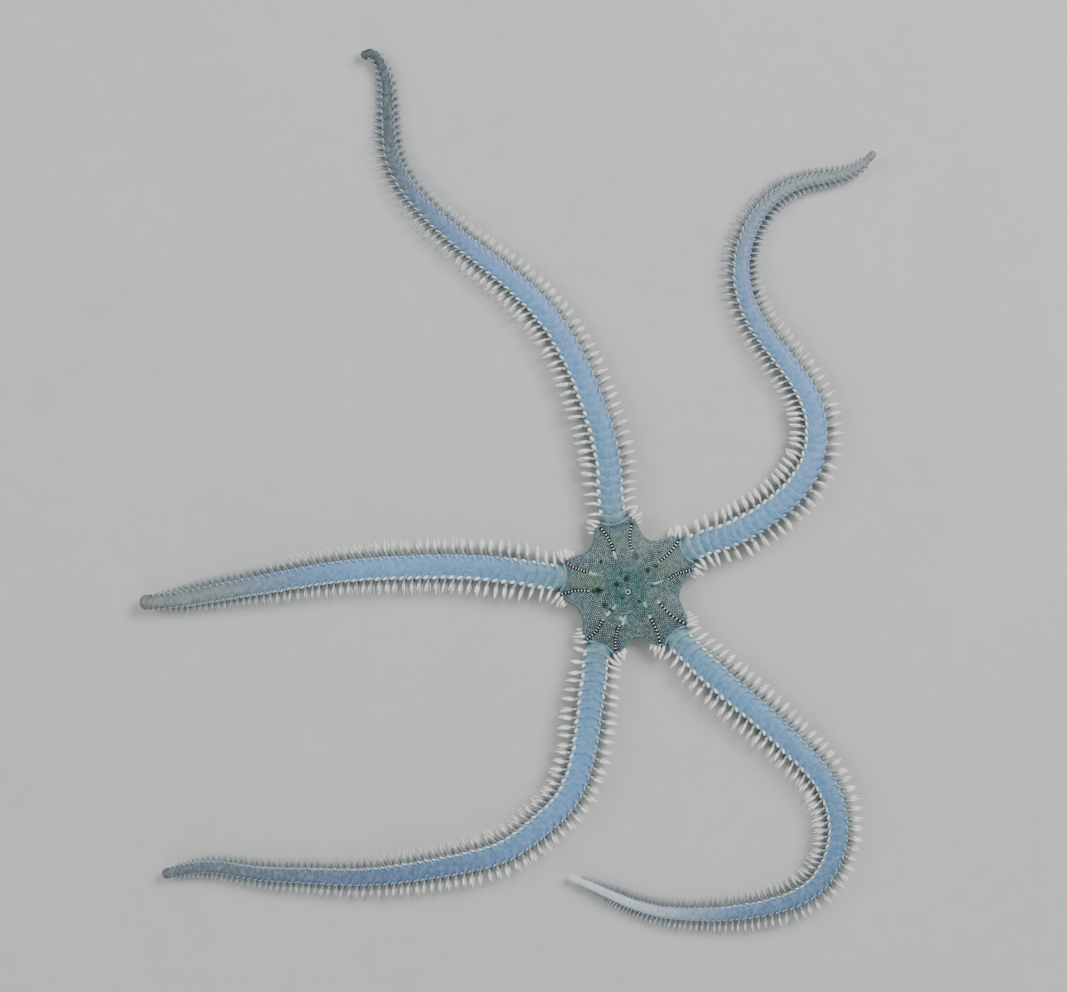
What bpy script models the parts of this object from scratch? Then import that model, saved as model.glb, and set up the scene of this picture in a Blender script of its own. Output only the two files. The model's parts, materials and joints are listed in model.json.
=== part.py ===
"""Brittle star, life size, lying on a flat floor with its upper side up.

A five-lobed disc carries five jaws underneath and five long, tapering, spiny arms. Each arm is
parted into five lengths. Metres, +Z up, the floor at z = 0, and the origin on the floor under
the middle of the whole spread. Arms are numbered clockwise from the one that points to +Y.
"""

import math
import random

import bmesh
import bpy
import numpy as np
from mathutils import Vector

MM = 0.001
UP = Vector((0, 0, 1))

# The disc, in plan and in height
DISC_CENTRE = Vector((23.9 * MM, -19.0 * MM, 0))
LOBE_REACH = 13.8 * MM  # centre to the flat end of a lobe, where an arm begins
LOBE_HALF_WIDTH = 2.75 * MM
CROWN_HEIGHT = 5.8 * MM
LOBE_HEIGHT = 4.6 * MM
EDGE_HEIGHT = 3.9 * MM
RIDGE_RISE = 0.25 * MM  # how far the top swells along each arm's line
GAP_LIFT = 0.8 * MM  # the edge between two arms clears the floor by this
MOUTH_LIFT = 0.3 * MM  # and the underside clears it by this beside the mouth
STEPS_PER_FLANK = 6

# The mouth, a round recess in the underside, the jaws in it, and a shield plate outside each jaw
MOUTH_RADIUS = 5.2 * MM
MOUTH_DEPTH = 1.9 * MM
JAW_CLEARANCE = 0.3 * MM
JAW_APEX_RADIUS = 1.1 * MM
MOUTH_SLIT = 1.0 * MM  # width of the slit between two jaws
JAW_CHAMFER = 0.2 * MM
TOOTH_RADIUS = 0.30 * MM
TOOTH_REACH = 0.33 * MM  # how far a tooth or a papilla stands out of its jaw
PAPILLA_PLACES = (2.3, 3.2, 4.1)  # mm from the middle of the mouth
SHIELD = ((5.75, 0.8), (7.0, 1.35), (8.4, 0.5))  # half of its outline, in mm outwards and sideways
SHIELD_BOTTOM = 0.06 * MM

# The arms
ARM_GAP = 0.3 * MM  # clearance between two lengths, and between an arm and its lobe
ARM_WIDTH = 5.4 * MM
HEIGHT_OVER_WIDTH = 0.78
TAPER_POWER = 1.25
PLATE_PITCH = 3.1 * MM
PITCH_LOSS = 0.36  # share of the pitch that is lost by the tip
WAIST_SCALE = 0.92  # the near edge of a plate
BRIM_SCALE = 1.06  # its far edge, which stands over the next plate
BRIM_PLACE = 0.90  # how far along the plate the brim is
ARC_SWEEP = 0.30  # how far a plate's sides are swept towards the tip, in half widths

# The spines, which grow in fans from the side of every plate
SPINE_LENGTH = 3.4 * MM
SPINE_RADIUS = 0.42 * MM
THIN_SPINE_RADIUS = 0.34 * MM
SPINE_PLACE = 0.60  # how far along its plate a spine stands
SPINE_LEAN = 10.0  # degrees towards the tip
LOW_SPINE = {"rise": 6.0, "length": 1.0, "out": 0.50, "up": 0.40}
HIGH_SPINE = {"rise": 48.0, "length": 0.78, "out": 0.45, "up": 0.58}
HIGH_SPINE_REACH = 0.46  # share of the arm that has high spines, on every other plate
LOBE_SPINES = ((12.4, 2.0), (13.2, 2.5))  # mm from the centre, mm long
FLOOR_CLEARANCE = 0.15 * MM

# Half of a cross-section, from the underside up to the back: sideways in half widths, up in heights
CROSS_SECTION = ((0.55, 0.0), (0.95, 0.30), (0.90, 0.66), (0.45, 0.97))

# Where each arm leaves the disc, in degrees, and the line that it follows, in mm from the disc's
# centre. "notch" is the radius of the disc's edge half way to the next arm counter-clockwise, "tip"
# the share of the width left at the end, and "lift" how high the end curls off the floor, in mm.
ARMS = (
    {
        "angle": 102.5,
        "notch": 10.8,
        "tip": 0.34,
        "lift": 1.6,
        "line": (
            (-4.2, 25.0), (-6.9, 35.6), (-11.2, 46.0), (-18.0, 56.0), (-28.3, 65.1), (-41.1, 76.0),
            (-47.4, 86.0), (-48.2, 91.6), (-48.4, 97.4), (-49.4, 103.6), (-52.0, 106.6), (-53.1, 106.0),
        ),
    },
    {
        "angle": 31.0,
        "notch": 10.0,
        "tip": 0.28,
        "lift": 2.4,
        "line": (
            (19.6, 10.1), (25.6, 13.1), (31.6, 17.6), (35.8, 23.2), (37.5, 29.2), (36.6, 36.4),
            (33.0, 42.8), (27.8, 49.6), (24.2, 55.6), (22.6, 64.2), (24.2, 71.0), (28.0, 76.8),
            (34.6, 80.8), (42.2, 82.3), (45.6, 83.6), (49.0, 86.6),
        ),
    },
    {
        "angle": -47.0,
        "notch": 10.2,
        "tip": 0.26,
        "lift": 1.2,
        "line": (
            (18.4, -19.0), (26.0, -25.5), (33.4, -32.5), (39.2, -39.3), (41.9, -47.8), (41.0, -54.2),
            (37.2, -60.2), (30.2, -63.8), (20.9, -65.6), (12.2, -65.9), (6.6, -65.4), (-1.6, -62.9),
            (-7.7, -60.1), (-11.8, -58.4),
        ),
    },
    {
        "angle": -115.0,
        "notch": 10.6,
        "tip": 0.38,
        "lift": 1.4,
        "line": (
            (-6.8, -17.2), (-7.6, -22.8), (-8.4, -29.8), (-9.8, -36.4), (-12.8, -43.0), (-17.2, -47.5),
            (-24.2, -52.7), (-32.6, -55.4), (-43.8, -57.4), (-55.0, -58.4), (-65.2, -58.1),
            (-75.8, -57.5), (-83.6, -56.4), (-89.4, -56.9), (-93.0, -57.7),
        ),
    },
    {
        "angle": 173.0,
        "notch": 11.2,
        "tip": 0.54,
        "lift": 1.8,
        "line": (
            (-23.0, 3.0), (-33.8, 3.9), (-44.4, 3.8), (-55.8, 3.1), (-64.0, 2.0), (-72.8, 0.4),
            (-84.5, -1.7), (-90.9, -2.8), (-97.2, -3.3),
        ),
    },
)
LENGTH_NAMES = ("base", "lower", "middle", "outer", "tip")
LENGTH_ENDS = (0.18, 0.38, 0.58, 0.79, 1.0)  # shares of the arm's length


def clear_scene():
    for obj in list(bpy.data.objects):
        bpy.data.objects.remove(obj)


def material(name, colour, roughness):
    made = bpy.data.materials.new(name)
    made.use_nodes = True
    shader = made.node_tree.nodes["Principled BSDF"]
    shader.inputs["Base Color"].default_value = (*colour, 1.0)
    shader.inputs["Roughness"].default_value = roughness
    shader.inputs["Metallic"].default_value = 0.0
    return made


def node(name, points, faces, finish):
    """One closed mesh as an object in the scene, shaded smooth except at its edges."""
    mesh = bpy.data.meshes.new(name)
    mesh.from_pydata([tuple(p) for p in points], [], faces)
    shape = bmesh.new()
    shape.from_mesh(mesh)
    bmesh.ops.recalc_face_normals(shape, faces=shape.faces)
    shape.to_mesh(mesh)
    shape.free()
    mesh.materials.append(finish)
    mesh.shade_smooth()
    mesh.set_sharp_from_angle(angle=math.radians(40))
    obj = bpy.data.objects.new(name, mesh)
    bpy.context.scene.collection.objects.link(obj)
    return obj


def heading(degrees):
    return Vector((math.cos(math.radians(degrees)), math.sin(math.radians(degrees)), 0))


def sideways(direction):
    """The horizontal direction to the left of a heading."""
    return Vector((-direction.y, direction.x, 0))


def smooth_line(knots, first_heading):
    """A cubic through the knots, level in curvature at each, that starts along first_heading."""
    points = np.array([(k.x, k.y) for k in knots])
    spans = np.linalg.norm(np.diff(points, axis=0), axis=1)
    count = len(points)
    system = np.zeros((count, count))
    target = np.zeros((count, 2))
    system[0, 0] = 1
    target[0] = (first_heading.x, first_heading.y)
    for i in range(1, count - 1):
        near, far = spans[i - 1], spans[i]
        system[i, i - 1] = 1 / near
        system[i, i] = 2 / near + 2 / far
        system[i, i + 1] = 1 / far
        target[i] = 3 * ((points[i] - points[i - 1]) / near**2 + (points[i + 1] - points[i]) / far**2)
    system[-1, -2] = 1
    system[-1, -1] = 2
    target[-1] = 3 * (points[-1] - points[-2]) / spans[-1]
    slopes = np.linalg.solve(system, target)
    line = []
    for i, span in enumerate(spans):
        for t in np.linspace(0, 1, 24, endpoint=False):
            line.append(
                (2 * t**3 - 3 * t**2 + 1) * points[i]
                + (t**3 - 2 * t**2 + t) * span * slopes[i]
                + (3 * t**2 - 2 * t**3) * points[i + 1]
                + (t**3 - t**2) * span * slopes[i + 1]
            )
    return np.array([*line, points[-1]])


class Arm:
    """One arm's centreline on the floor, and its sizes at any distance s along it."""

    def __init__(self, number, facts):
        self.name = f"arm_{number}"
        self.facts = facts
        out = heading(facts["angle"])
        start = DISC_CENTRE + out * (LOBE_REACH + ARM_GAP)
        knots = [start] + [DISC_CENTRE + Vector((x, y, 0)) * MM for x, y in facts["line"]]
        self.line = smooth_line(knots, out)
        steps = np.linalg.norm(np.diff(self.line, axis=0), axis=1)
        self.distance = np.concatenate([[0], np.cumsum(steps)])
        self.length = self.distance[-1]

    def place(self, s):
        x, y = (np.interp(s, self.distance, self.line[:, axis]) for axis in (0, 1))
        share = min(max((s / self.length - 0.86) / 0.14, 0), 1)
        return Vector((x, y, self.facts["lift"] * MM * share**2))

    def along(self, s):
        step = 0.2 * MM
        ahead = self.place(min(s + step, self.length))
        behind = self.place(max(s - step, 0))
        direction = ahead - behind
        direction.z = 0
        return direction.normalized()

    def width(self, s):
        return ARM_WIDTH * (1 - (1 - self.facts["tip"]) * (s / self.length) ** TAPER_POWER)

    def pitch(self, s):
        return PLATE_PITCH * (1 - PITCH_LOSS * s / self.length)

    def plate_starts(self):
        """The near edge of every plate, and the arm's end."""
        starts = [0.0]
        while starts[-1] + self.pitch(starts[-1]) < self.length - 0.5 * self.pitch(self.length):
            starts.append(starts[-1] + self.pitch(starts[-1]))
        return [*starts, self.length]

    def spine_length(self, s):
        share = s / self.length
        return SPINE_LENGTH * min(1, 0.7 + 4 * share) * (1 - 0.9 * share**3.5)

    def ring(self, s, scale, sweep):
        """The cross-section at s, its sides swept towards the tip by sweep half widths."""
        middle = self.place(s)
        ahead = self.along(s)
        left = sideways(ahead)
        half = self.width(s) / 2 * scale
        height = self.width(s) * HEIGHT_OVER_WIDTH * scale
        section = [(half * x, ahead * sweep * half * x**2 + UP * height * z) for x, z in CROSS_SECTION]
        right_side = [middle - left * x + rest for x, rest in section]
        left_side = [middle + left * x + rest for x, rest in reversed(section)]
        return right_side + left_side


def tube(rings):
    """Points and faces of a closed tube through rings that have the same number of points."""
    sides = len(rings[0])
    points = [p for ring in rings for p in ring]
    faces = [tuple(range(sides)), tuple(range(len(points) - sides, len(points)))]
    for r in range(len(rings) - 1):
        for i in range(sides):
            j = (i + 1) % sides
            a, b = r * sides, (r + 1) * sides
            faces.append((a + i, a + j, b + j, b + i))
    return points, faces


def arm_length_rings(arm, starts, first, last):
    """Rings of the plates from number first up to number last, square at both ends."""
    rings = []
    for i in range(first, last):
        near, far = starts[i], starts[i + 1]
        begin = near + (ARM_GAP / 2 if i == first and first > 0 else 0)
        rings.append(arm.ring(begin, WAIST_SCALE, 0 if i == first else ARC_SWEEP))
        rings.append(arm.ring(near + (far - near) * BRIM_PLACE, BRIM_SCALE, ARC_SWEEP))
    end = starts[last]
    if last == len(starts) - 1:
        rings[-1] = arm.ring(end - arm.width(end) * 0.3, 0.9, 0)
        rings.append(arm.ring(end, 0.5, 0))
    else:
        rings[-1] = arm.ring(end - ARM_GAP / 2, BRIM_SCALE, 0)
    return rings


def spine(root, direction, length, radius, spin):
    """A three-sided spindle as points and faces: its root ring, its widest ring and its tip."""
    across = direction.cross(UP).normalized()
    over = across.cross(direction)
    rings = []
    for place, scale in ((0.0, 0.82), (0.56, 1.0)):
        for corner in range(3):
            turn = spin + math.radians(120 * corner)
            rim = across * math.cos(turn) + over * math.sin(turn)
            rings.append(root + direction * length * place + rim * radius * scale)
    sides = ((0, 1, 4, 3), (1, 2, 5, 4), (2, 0, 3, 5), (3, 4, 6), (4, 5, 6), (5, 3, 6))
    return [*rings, root + direction * length], ((2, 1, 0), *sides)


def keep_clear(points, walls):
    """Bends the free part of a spine back from the end walls of its length, and off the floor."""
    for i in range(3, len(points)):
        for at, outward in walls:
            over = (points[i] - at).dot(outward)
            if over > 0:
                points[i] = points[i] - outward * over
        points[i].z = max(points[i].z, FLOOR_CLEARANCE)


def arm_spines(arm, starts, first, last, chance):
    """The spines of the plates from number first up to number last."""
    walls = [
        (arm.place(starts[last]) - arm.along(starts[last]) * ARM_GAP / 2, arm.along(starts[last])),
        (arm.place(starts[first]) + arm.along(starts[first]) * ARM_GAP / 2, -arm.along(starts[first])),
    ]
    if last == len(starts) - 1:
        walls = walls[1:]
    made = []
    for i in range(first, last):
        s = blend(starts[i], starts[i + 1], SPINE_PLACE)
        kinds = [LOW_SPINE]
        if s < arm.length * HIGH_SPINE_REACH and i % 2:
            kinds.append(HIGH_SPINE)
        for kind in kinds:
            for side in (1, -1):
                half = arm.width(s) / 2
                left = sideways(arm.along(s))
                up = UP * arm.width(s) * HEIGHT_OVER_WIDTH * kind["up"]
                root = arm.place(s) + left * side * half * kind["out"] + up
                lean = math.radians(SPINE_LEAN + chance.uniform(-6, 6))
                rise = math.radians(kind["rise"] + chance.uniform(-6, 6))
                flat = left * side * math.cos(lean) + arm.along(s) * math.sin(lean)
                direction = flat * math.cos(rise) + UP * math.sin(rise)
                length = arm.spine_length(s) * kind["length"] * chance.uniform(0.92, 1.08)
                share = min(length / SPINE_LENGTH, 1)
                radius = blend(THIN_SPINE_RADIUS, SPINE_RADIUS, share)
                sunk = half * (0.95 - kind["out"])
                points, faces = spine(root, direction, length + sunk, radius, chance.uniform(0, 2))
                keep_clear(points, walls)
                made.append((points, faces))
    return made


def largest_surface(mesh):
    """Leaves only the mesh's largest closed surface."""
    shape = bmesh.new()
    shape.from_mesh(mesh)
    left = set(shape.faces)
    surfaces = []
    while left:
        surface = {left.pop()}
        edge_of_search = list(surface)
        while edge_of_search:
            face = edge_of_search.pop()
            near = {other for edge in face.edges for other in edge.link_faces} - surface
            surface |= near
            edge_of_search += near
        left -= surface
        surfaces.append(surface)
    largest = max(surfaces, key=lambda surface: sum(face.calc_area() for face in surface))
    loose = [face for surface in surfaces if surface is not largest for face in surface]
    bmesh.ops.delete(shape, geom=loose, context="FACES")
    shape.to_mesh(mesh)
    shape.free()


def grow(core, pieces, finish):
    """Joins closed pieces, each as points and faces, to the core by one union."""
    group = bpy.data.collections.new("pieces")
    bpy.context.scene.collection.children.link(group)
    for i, (points, faces) in enumerate(pieces):
        piece = node(f"piece_{i}", points, faces, finish)
        bpy.context.scene.collection.objects.unlink(piece)
        group.objects.link(piece)
    union = core.modifiers.new("pieces", "BOOLEAN")
    union.operation = "UNION"
    union.operand_type = "COLLECTION"
    union.collection = group
    union.solver = "EXACT"
    bpy.context.view_layer.update()
    joined = core.evaluated_get(bpy.context.evaluated_depsgraph_get())
    mesh = bpy.data.meshes.new_from_object(joined)
    core.modifiers.clear()
    core.data = mesh
    for piece in list(group.objects):
        bpy.data.objects.remove(piece)
    bpy.data.collections.remove(group)
    largest_surface(mesh)
    mesh.shade_smooth()
    mesh.set_sharp_from_angle(angle=math.radians(40))


def build_arm(arm, finish, chance):
    starts = arm.plate_starts()
    ends = [min(range(len(starts)), key=lambda i: abs(starts[i] - share * arm.length)) for share in LENGTH_ENDS]
    first = 0
    for name, last in zip(LENGTH_NAMES, ends):
        points, faces = tube(arm_length_rings(arm, starts, first, last))
        core = node(f"{arm.name}_{name}", points, faces, finish)
        grow(core, arm_spines(arm, starts, first, last, chance), finish)
        first = last


def bezier(corners, t):
    a, b, c, d = corners
    return a * (1 - t) ** 3 + b * 3 * t * (1 - t) ** 2 + c * 3 * t**2 * (1 - t) + d * t**3


def lobe_flank(out, left, half_gap, notch_radius):
    """One flank of a lobe, from the notch to the lobe's end: (point from the centre, share of lobe)."""
    notch = Vector((math.cos(half_gap), math.sin(half_gap))) * notch_radius
    edge_run = Vector((math.sin(half_gap), -math.cos(half_gap))) * 2.2 * MM
    corners = (
        notch,
        notch + edge_run,
        Vector((12.5 * MM, 4.9 * MM)),
        Vector((LOBE_REACH, LOBE_HALF_WIDTH)),
    )
    flank = []
    for i in range(STEPS_PER_FLANK):
        t = i / (STEPS_PER_FLANK - 1)
        local = bezier(corners, t)
        flank.append((out * local.x + left * local.y, t))
    return flank


def disc_outline():
    """The disc's edge, counter-clockwise: (point from the centre, share of lobe from 0 to 1)."""
    turn = sorted(ARMS, key=lambda facts: facts["angle"])
    outline = []
    for i, facts in enumerate(turn):
        before, after = turn[i - 1], turn[(i + 1) % len(turn)]
        gap_before = math.radians((facts["angle"] - before["angle"]) % 360)
        gap_after = math.radians((after["angle"] - facts["angle"]) % 360)
        out = heading(facts["angle"])
        left = sideways(out)
        outline += lobe_flank(out, -left, gap_before / 2, before["notch"] * MM)
        outline.append((out * LOBE_REACH, 1.0))
        outline += reversed(lobe_flank(out, left, gap_after / 2, facts["notch"] * MM)[1:])
    return outline


def blend(a, b, share):
    return a + (b - a) * share


def ridge(point):
    """The swell of the top along the nearest arm's line."""
    across = min(
        abs(point.dot(sideways(heading(facts["angle"]))))
        for facts in ARMS
        if point.dot(heading(facts["angle"])) > 0
    )
    return RIDGE_RISE * math.exp(-((across / (2.2 * MM)) ** 2)) * min(1, point.length / (6 * MM))


def build_disc(finish):
    outline = disc_outline()
    rings = []
    for share in (0.28, 0.52, 0.74):
        ring = []
        for edge, lobe in outline:
            at = edge * share
            rim = blend(EDGE_HEIGHT, LOBE_HEIGHT, lobe)
            height = rim + (CROWN_HEIGHT - rim) * (1 - share**2.2) + ridge(at)
            ring.append(DISC_CENTRE + at + UP * height)
        rings.append(ring)
    # (distance along the radius, height as a share of the rim) at a notch and at a lobe
    profile = (((0.93, 0.99), (0.985, 1.0)), ((1.0, 0.78), (1.0, 0.93)), ((1.0, 0.36), (1.0, 0.08)))
    for at_notch, at_lobe in profile:
        ring = []
        for edge, lobe in outline:
            rim = blend(EDGE_HEIGHT, LOBE_HEIGHT, lobe)
            share = blend(at_notch[0], at_lobe[0], lobe)
            height = rim * blend(at_notch[1], at_lobe[1], lobe)
            ring.append(DISC_CENTRE + edge * share + UP * height)
        rings.append(ring)
    under = []
    for edge, lobe in outline:
        under.append(DISC_CENTRE + edge * blend(0.94, 0.985, lobe) + UP * GAP_LIFT * (1 - lobe) ** 0.5)
    rings.append(under)
    for floor in (0.0, 1.0):
        ring = []
        for edge, lobe in outline:
            height = blend(MOUTH_LIFT * (1 - lobe) ** 0.5, MOUTH_DEPTH, floor)
            ring.append(DISC_CENTRE + edge.normalized() * MOUTH_RADIUS + UP * height)
        rings.append(ring)
    points, faces = tube(rings)
    core = node("disc", points, faces, finish)
    grow(core, lobe_spines() + shields(), finish)


def lobe_spines():
    """The spines on the flanks of the lobes, beside the roots of the arms."""
    made = []
    for facts in ARMS:
        out = heading(facts["angle"])
        for distance, length in LOBE_SPINES:
            for side in (1, -1):
                left = sideways(out) * side
                root = DISC_CENTRE + out * distance * MM + left * 2.6 * MM + UP * 1.7 * MM
                direction = (left + out * 0.2 + UP * 0.1).normalized()
                made.append(spine(root, direction, (length + 0.9) * MM, SPINE_RADIUS, 0.5))
    return made


def gap_headings():
    """The heading half way between each two arms, and half the angle between them."""
    angles = sorted(facts["angle"] for facts in ARMS)
    found = []
    for i, angle in enumerate(angles):
        gap = (angles[(i + 1) % len(angles)] - angle) % 360
        found.append((heading(angle + gap / 2), math.radians(gap) / 2))
    return found


def shields():
    """A low six-sided plate on the underside outside each jaw."""
    made = []
    for out, _ in gap_headings():
        left = sideways(out)
        half = [(out * x * MM, left * y * MM) for x, y in SHIELD]
        outline = [x + y for x, y in half] + [x - y for x, y in reversed(half)]
        rings = [
            [DISC_CENTRE + p + UP * SHIELD_BOTTOM for p in outline],
            [DISC_CENTRE + p + UP * 3 * MOUTH_LIFT for p in outline],
        ]
        made.append(tube(rings))
    return made


def jaw_teeth(out, left, half_gap):
    """A tooth at the jaw's point and papillae along the two flanks that face the slits."""
    drop = UP * -0.15
    height = UP * 0.75 * MM
    made = [spine(DISC_CENTRE + out * (JAW_APEX_RADIUS + 0.5 * MM) + height, (drop - out).normalized(),
                  0.5 * MM + TOOTH_REACH, TOOTH_RADIUS, 0.5)]
    for side in (1, -1):
        # along the slit beside this flank, and across it
        run = out * math.cos(half_gap) + left * side * math.sin(half_gap)
        across = left * side * math.cos(half_gap) - out * math.sin(half_gap)
        for place in PAPILLA_PLACES:
            root = DISC_CENTRE + run * place * MM - across * (MOUTH_SLIT / 2 + 0.5 * MM) + height
            made.append(spine(root, (across + drop).normalized(), 0.5 * MM + TOOTH_REACH, TOOTH_RADIUS, 0.5))
    return made


def build_jaws(finish):
    """Five wedges that point at the middle of the mouth, one between each two arms."""
    outer = MOUTH_RADIUS - JAW_CLEARANCE
    for i, (out, half_gap) in enumerate(gap_headings()):
        left = sideways(out)
        rings = []
        for inset, height in (
            (JAW_CHAMFER, 0.0),
            (0.0, JAW_CHAMFER),
            (0.0, MOUTH_DEPTH - JAW_CLEARANCE),
        ):
            ring = []
            for radius in (JAW_APEX_RADIUS + inset, 2.4 * MM, outer - inset):
                # a flank runs beside the slit, half its width from the arm's line
                turn = half_gap - math.asin(min((MOUTH_SLIT / 2 + inset) / radius, 0.9))
                ring.append(out * radius * math.cos(turn) + left * radius * math.sin(turn))
            ring.append(out * (outer - inset))
            mirrored = [p - left * 2 * p.dot(left) for p in reversed(ring[:3])]
            rings.append([DISC_CENTRE + p + UP * height for p in ring + mirrored])
        points, faces = tube(rings)
        core = node(f"jaw_{i + 1}", points, faces, finish)
        grow(core, jaw_teeth(out, left, half_gap), finish)


def main():
    clear_scene()
    skin = material("disc_skin", (0.16, 0.24, 0.24), 0.6)
    plates = material("arm_plates", (0.28, 0.40, 0.50), 0.5)
    jaws = material("jaw_plates", (0.55, 0.56, 0.50), 0.5)
    build_disc(skin)
    build_jaws(jaws)
    chance = random.Random(5)
    for i, facts in enumerate(ARMS):
        build_arm(Arm(i + 1, facts), plates, chance)


main()
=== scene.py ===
"""Looks of a life-size brittle star, lying on a pale floor and seen from straight above.

One skin covers the lobed disc and the five arms. Spines, edge pegs, granules and beads are small
solid shapes set on it, and the jaws and shield plates of the underside are hard pieces of their own.
Sizes in the tables are millimetres, and everything that is made is in metres.
"""

import json
import math

import bmesh
import bpy
import numpy as np
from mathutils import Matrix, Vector

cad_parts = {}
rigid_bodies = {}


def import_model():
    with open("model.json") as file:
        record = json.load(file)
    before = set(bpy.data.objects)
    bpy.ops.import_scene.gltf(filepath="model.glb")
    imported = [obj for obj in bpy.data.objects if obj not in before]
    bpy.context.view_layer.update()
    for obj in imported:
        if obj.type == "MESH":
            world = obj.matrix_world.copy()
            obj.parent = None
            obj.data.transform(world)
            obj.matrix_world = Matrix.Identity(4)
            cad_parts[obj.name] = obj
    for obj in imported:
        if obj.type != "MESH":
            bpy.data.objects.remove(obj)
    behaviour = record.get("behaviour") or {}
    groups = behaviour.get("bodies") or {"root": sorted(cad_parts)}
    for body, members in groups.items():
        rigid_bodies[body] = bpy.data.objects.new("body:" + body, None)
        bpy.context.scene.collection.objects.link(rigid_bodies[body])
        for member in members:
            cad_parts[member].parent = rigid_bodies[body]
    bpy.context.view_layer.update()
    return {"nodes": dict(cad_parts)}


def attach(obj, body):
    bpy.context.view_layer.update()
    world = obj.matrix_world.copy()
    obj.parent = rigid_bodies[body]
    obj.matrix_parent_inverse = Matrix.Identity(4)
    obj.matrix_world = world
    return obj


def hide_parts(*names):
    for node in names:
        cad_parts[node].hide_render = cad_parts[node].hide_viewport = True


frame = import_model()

MM = 0.001
TURN = 2 * math.pi

# The disc, as its solid has it
CENTRE = np.array([23.9, -19.0])
LOBE_REACH = 13.8
LOBE_HALF_WIDTH = 2.75
LOBE_SHOULDER = (12.5, 4.9)
NOTCH_RUN = 2.2
CROWN_HEIGHT = 5.8
LOBE_HEIGHT = 4.2
EDGE_HEIGHT = 3.9
RIDGE_RISE = 0.25
GAP_LIFT = 0.8
MOUTH_RADIUS = 5.2
MOUTH_DEPTH = 1.9
SLIT_WIDTH = 1.0
JAW_POINT = 1.1

# The arms, as their solids have them, with plates as fine as the real ones
ARM_GAP = 0.3
ARM_WIDTH = 5.4
HEIGHT_OVER_WIDTH = 0.78
TAPER_POWER = 1.25
PLATE_PITCH = 1.86
SWEEP = 0.34
SPINE_LENGTH = 3.4
ROOT_INSIDE = 8.6

# Facts of the five arms, arm 1 first
FACTS = {
    # the way it leaves the disc, in degrees, and the radius of the notch after it
    "angle": (102.5, 31.0, -47.0, -115.0, 173.0),
    "notch": (10.8, 10.0, 10.2, 10.6, 11.2),
    # the width left at its end, and how far the end is lifted
    "tip": (0.34, 0.28, 0.26, 0.38, 0.54),
    "lift": (1.6, 2.4, 1.2, 1.4, 1.8),
    # how much closer its plates are at the end, and with which power of the way there
    "loss": ((0.28, 1.3), (0.45, 1.3), (0.8, 2.4), (0.54, 1.9), (0.42, 1.3)),
    # the length of the spines on its left and its right side
    "reach": ((1.0, 0.86), (1.0, 0.92), (0.97, 1.0), (0.94, 1.0), (0.96, 1.0)),
    # how far its fans open, and how far out their blades are broad and stand in one line
    "spread": (1.2, 0.9, 0.8, 1.4, 1.5),
    "stacked": (84, 92, 80, 44, 28),
    # the side taken as lit, 1 for left, whose edge pegs are painted white as lit ones while the other side's
    # are tinted blue as painted shade, and how thick its spines are on that side
    "lit_side": (1, 1, -1, -1, 1),
    "slim": (0.92, 0.7, 0.7, 0.75, 0.78),
    # the share of its length on which the seams between plates show on the back
    "arcs": (0.06, 0.14, 0.05, 0.26, 0.04),
    # how olive its wedge on the disc is, and how lilac its middle, below 0 on the right side
    "olive": (0.8, 0.9, 0.45, 0.6, 1.15),
    "lilac": (-0.75, -0.95, -0.45, 0.85, -0.35),
    # how warm its grey is at the end, where it begins to darken and how much, and how strong the painted
    # highlight is that makes its end pale
    "warm": (0.45, 0.9, 0.0, 0.25, 1.0),
    "dusk": ((0.55, 1.0), (0.8, 0.15), (0.15, 0.35), (0.2, 0.5), (0.66, 0.55)),
    "pale": (0.0, 0.0, 0.9, 0.0, 0.0),
    # its line in mm from the disc's centre
    "line": (
        (
            (-4.2, 25.0), (-6.9, 35.6), (-11.2, 46.0), (-18.0, 56.0), (-28.3, 65.1), (-41.1, 76.0),
            (-47.4, 86.0), (-48.2, 91.6), (-48.4, 97.4), (-49.4, 103.6), (-52.0, 106.6), (-53.1, 106.0),
        ),
        (
            (19.6, 10.1), (25.6, 13.1), (31.6, 17.6), (35.8, 23.2), (37.5, 29.2), (36.6, 36.4),
            (33.0, 42.8), (27.8, 49.6), (24.2, 55.6), (22.6, 64.2), (24.2, 71.0), (28.0, 76.8),
            (34.6, 80.8), (42.2, 82.3), (45.6, 83.6), (49.0, 86.6),
        ),
        (
            (18.4, -19.0), (26.0, -25.5), (33.4, -32.5), (39.2, -39.3), (41.9, -47.8), (41.0, -54.2),
            (37.2, -60.2), (30.2, -63.8), (20.9, -65.6), (12.2, -65.9), (6.6, -65.4), (-1.6, -62.9),
            (-7.7, -60.1), (-11.8, -58.4),
        ),
        (
            (-6.8, -17.2), (-7.6, -22.8), (-8.4, -29.8), (-9.8, -36.4), (-12.8, -43.0), (-17.2, -47.5),
            (-24.2, -52.7), (-32.6, -55.4), (-43.8, -57.4), (-55.0, -58.4), (-65.2, -58.1),
            (-75.8, -57.5), (-83.6, -56.4), (-89.4, -56.9), (-93.0, -57.7),
        ),
        (
            (-23.0, 3.0), (-33.8, 3.9), (-44.4, 3.8), (-55.8, 3.1), (-64.0, 2.0), (-72.8, 0.4),
            (-84.5, -1.7), (-90.9, -2.8), (-97.2, -3.3),
        ),
    ),
}
ARMS = [{name: values[i] for name, values in FACTS.items()} for i in range(5)]

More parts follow.
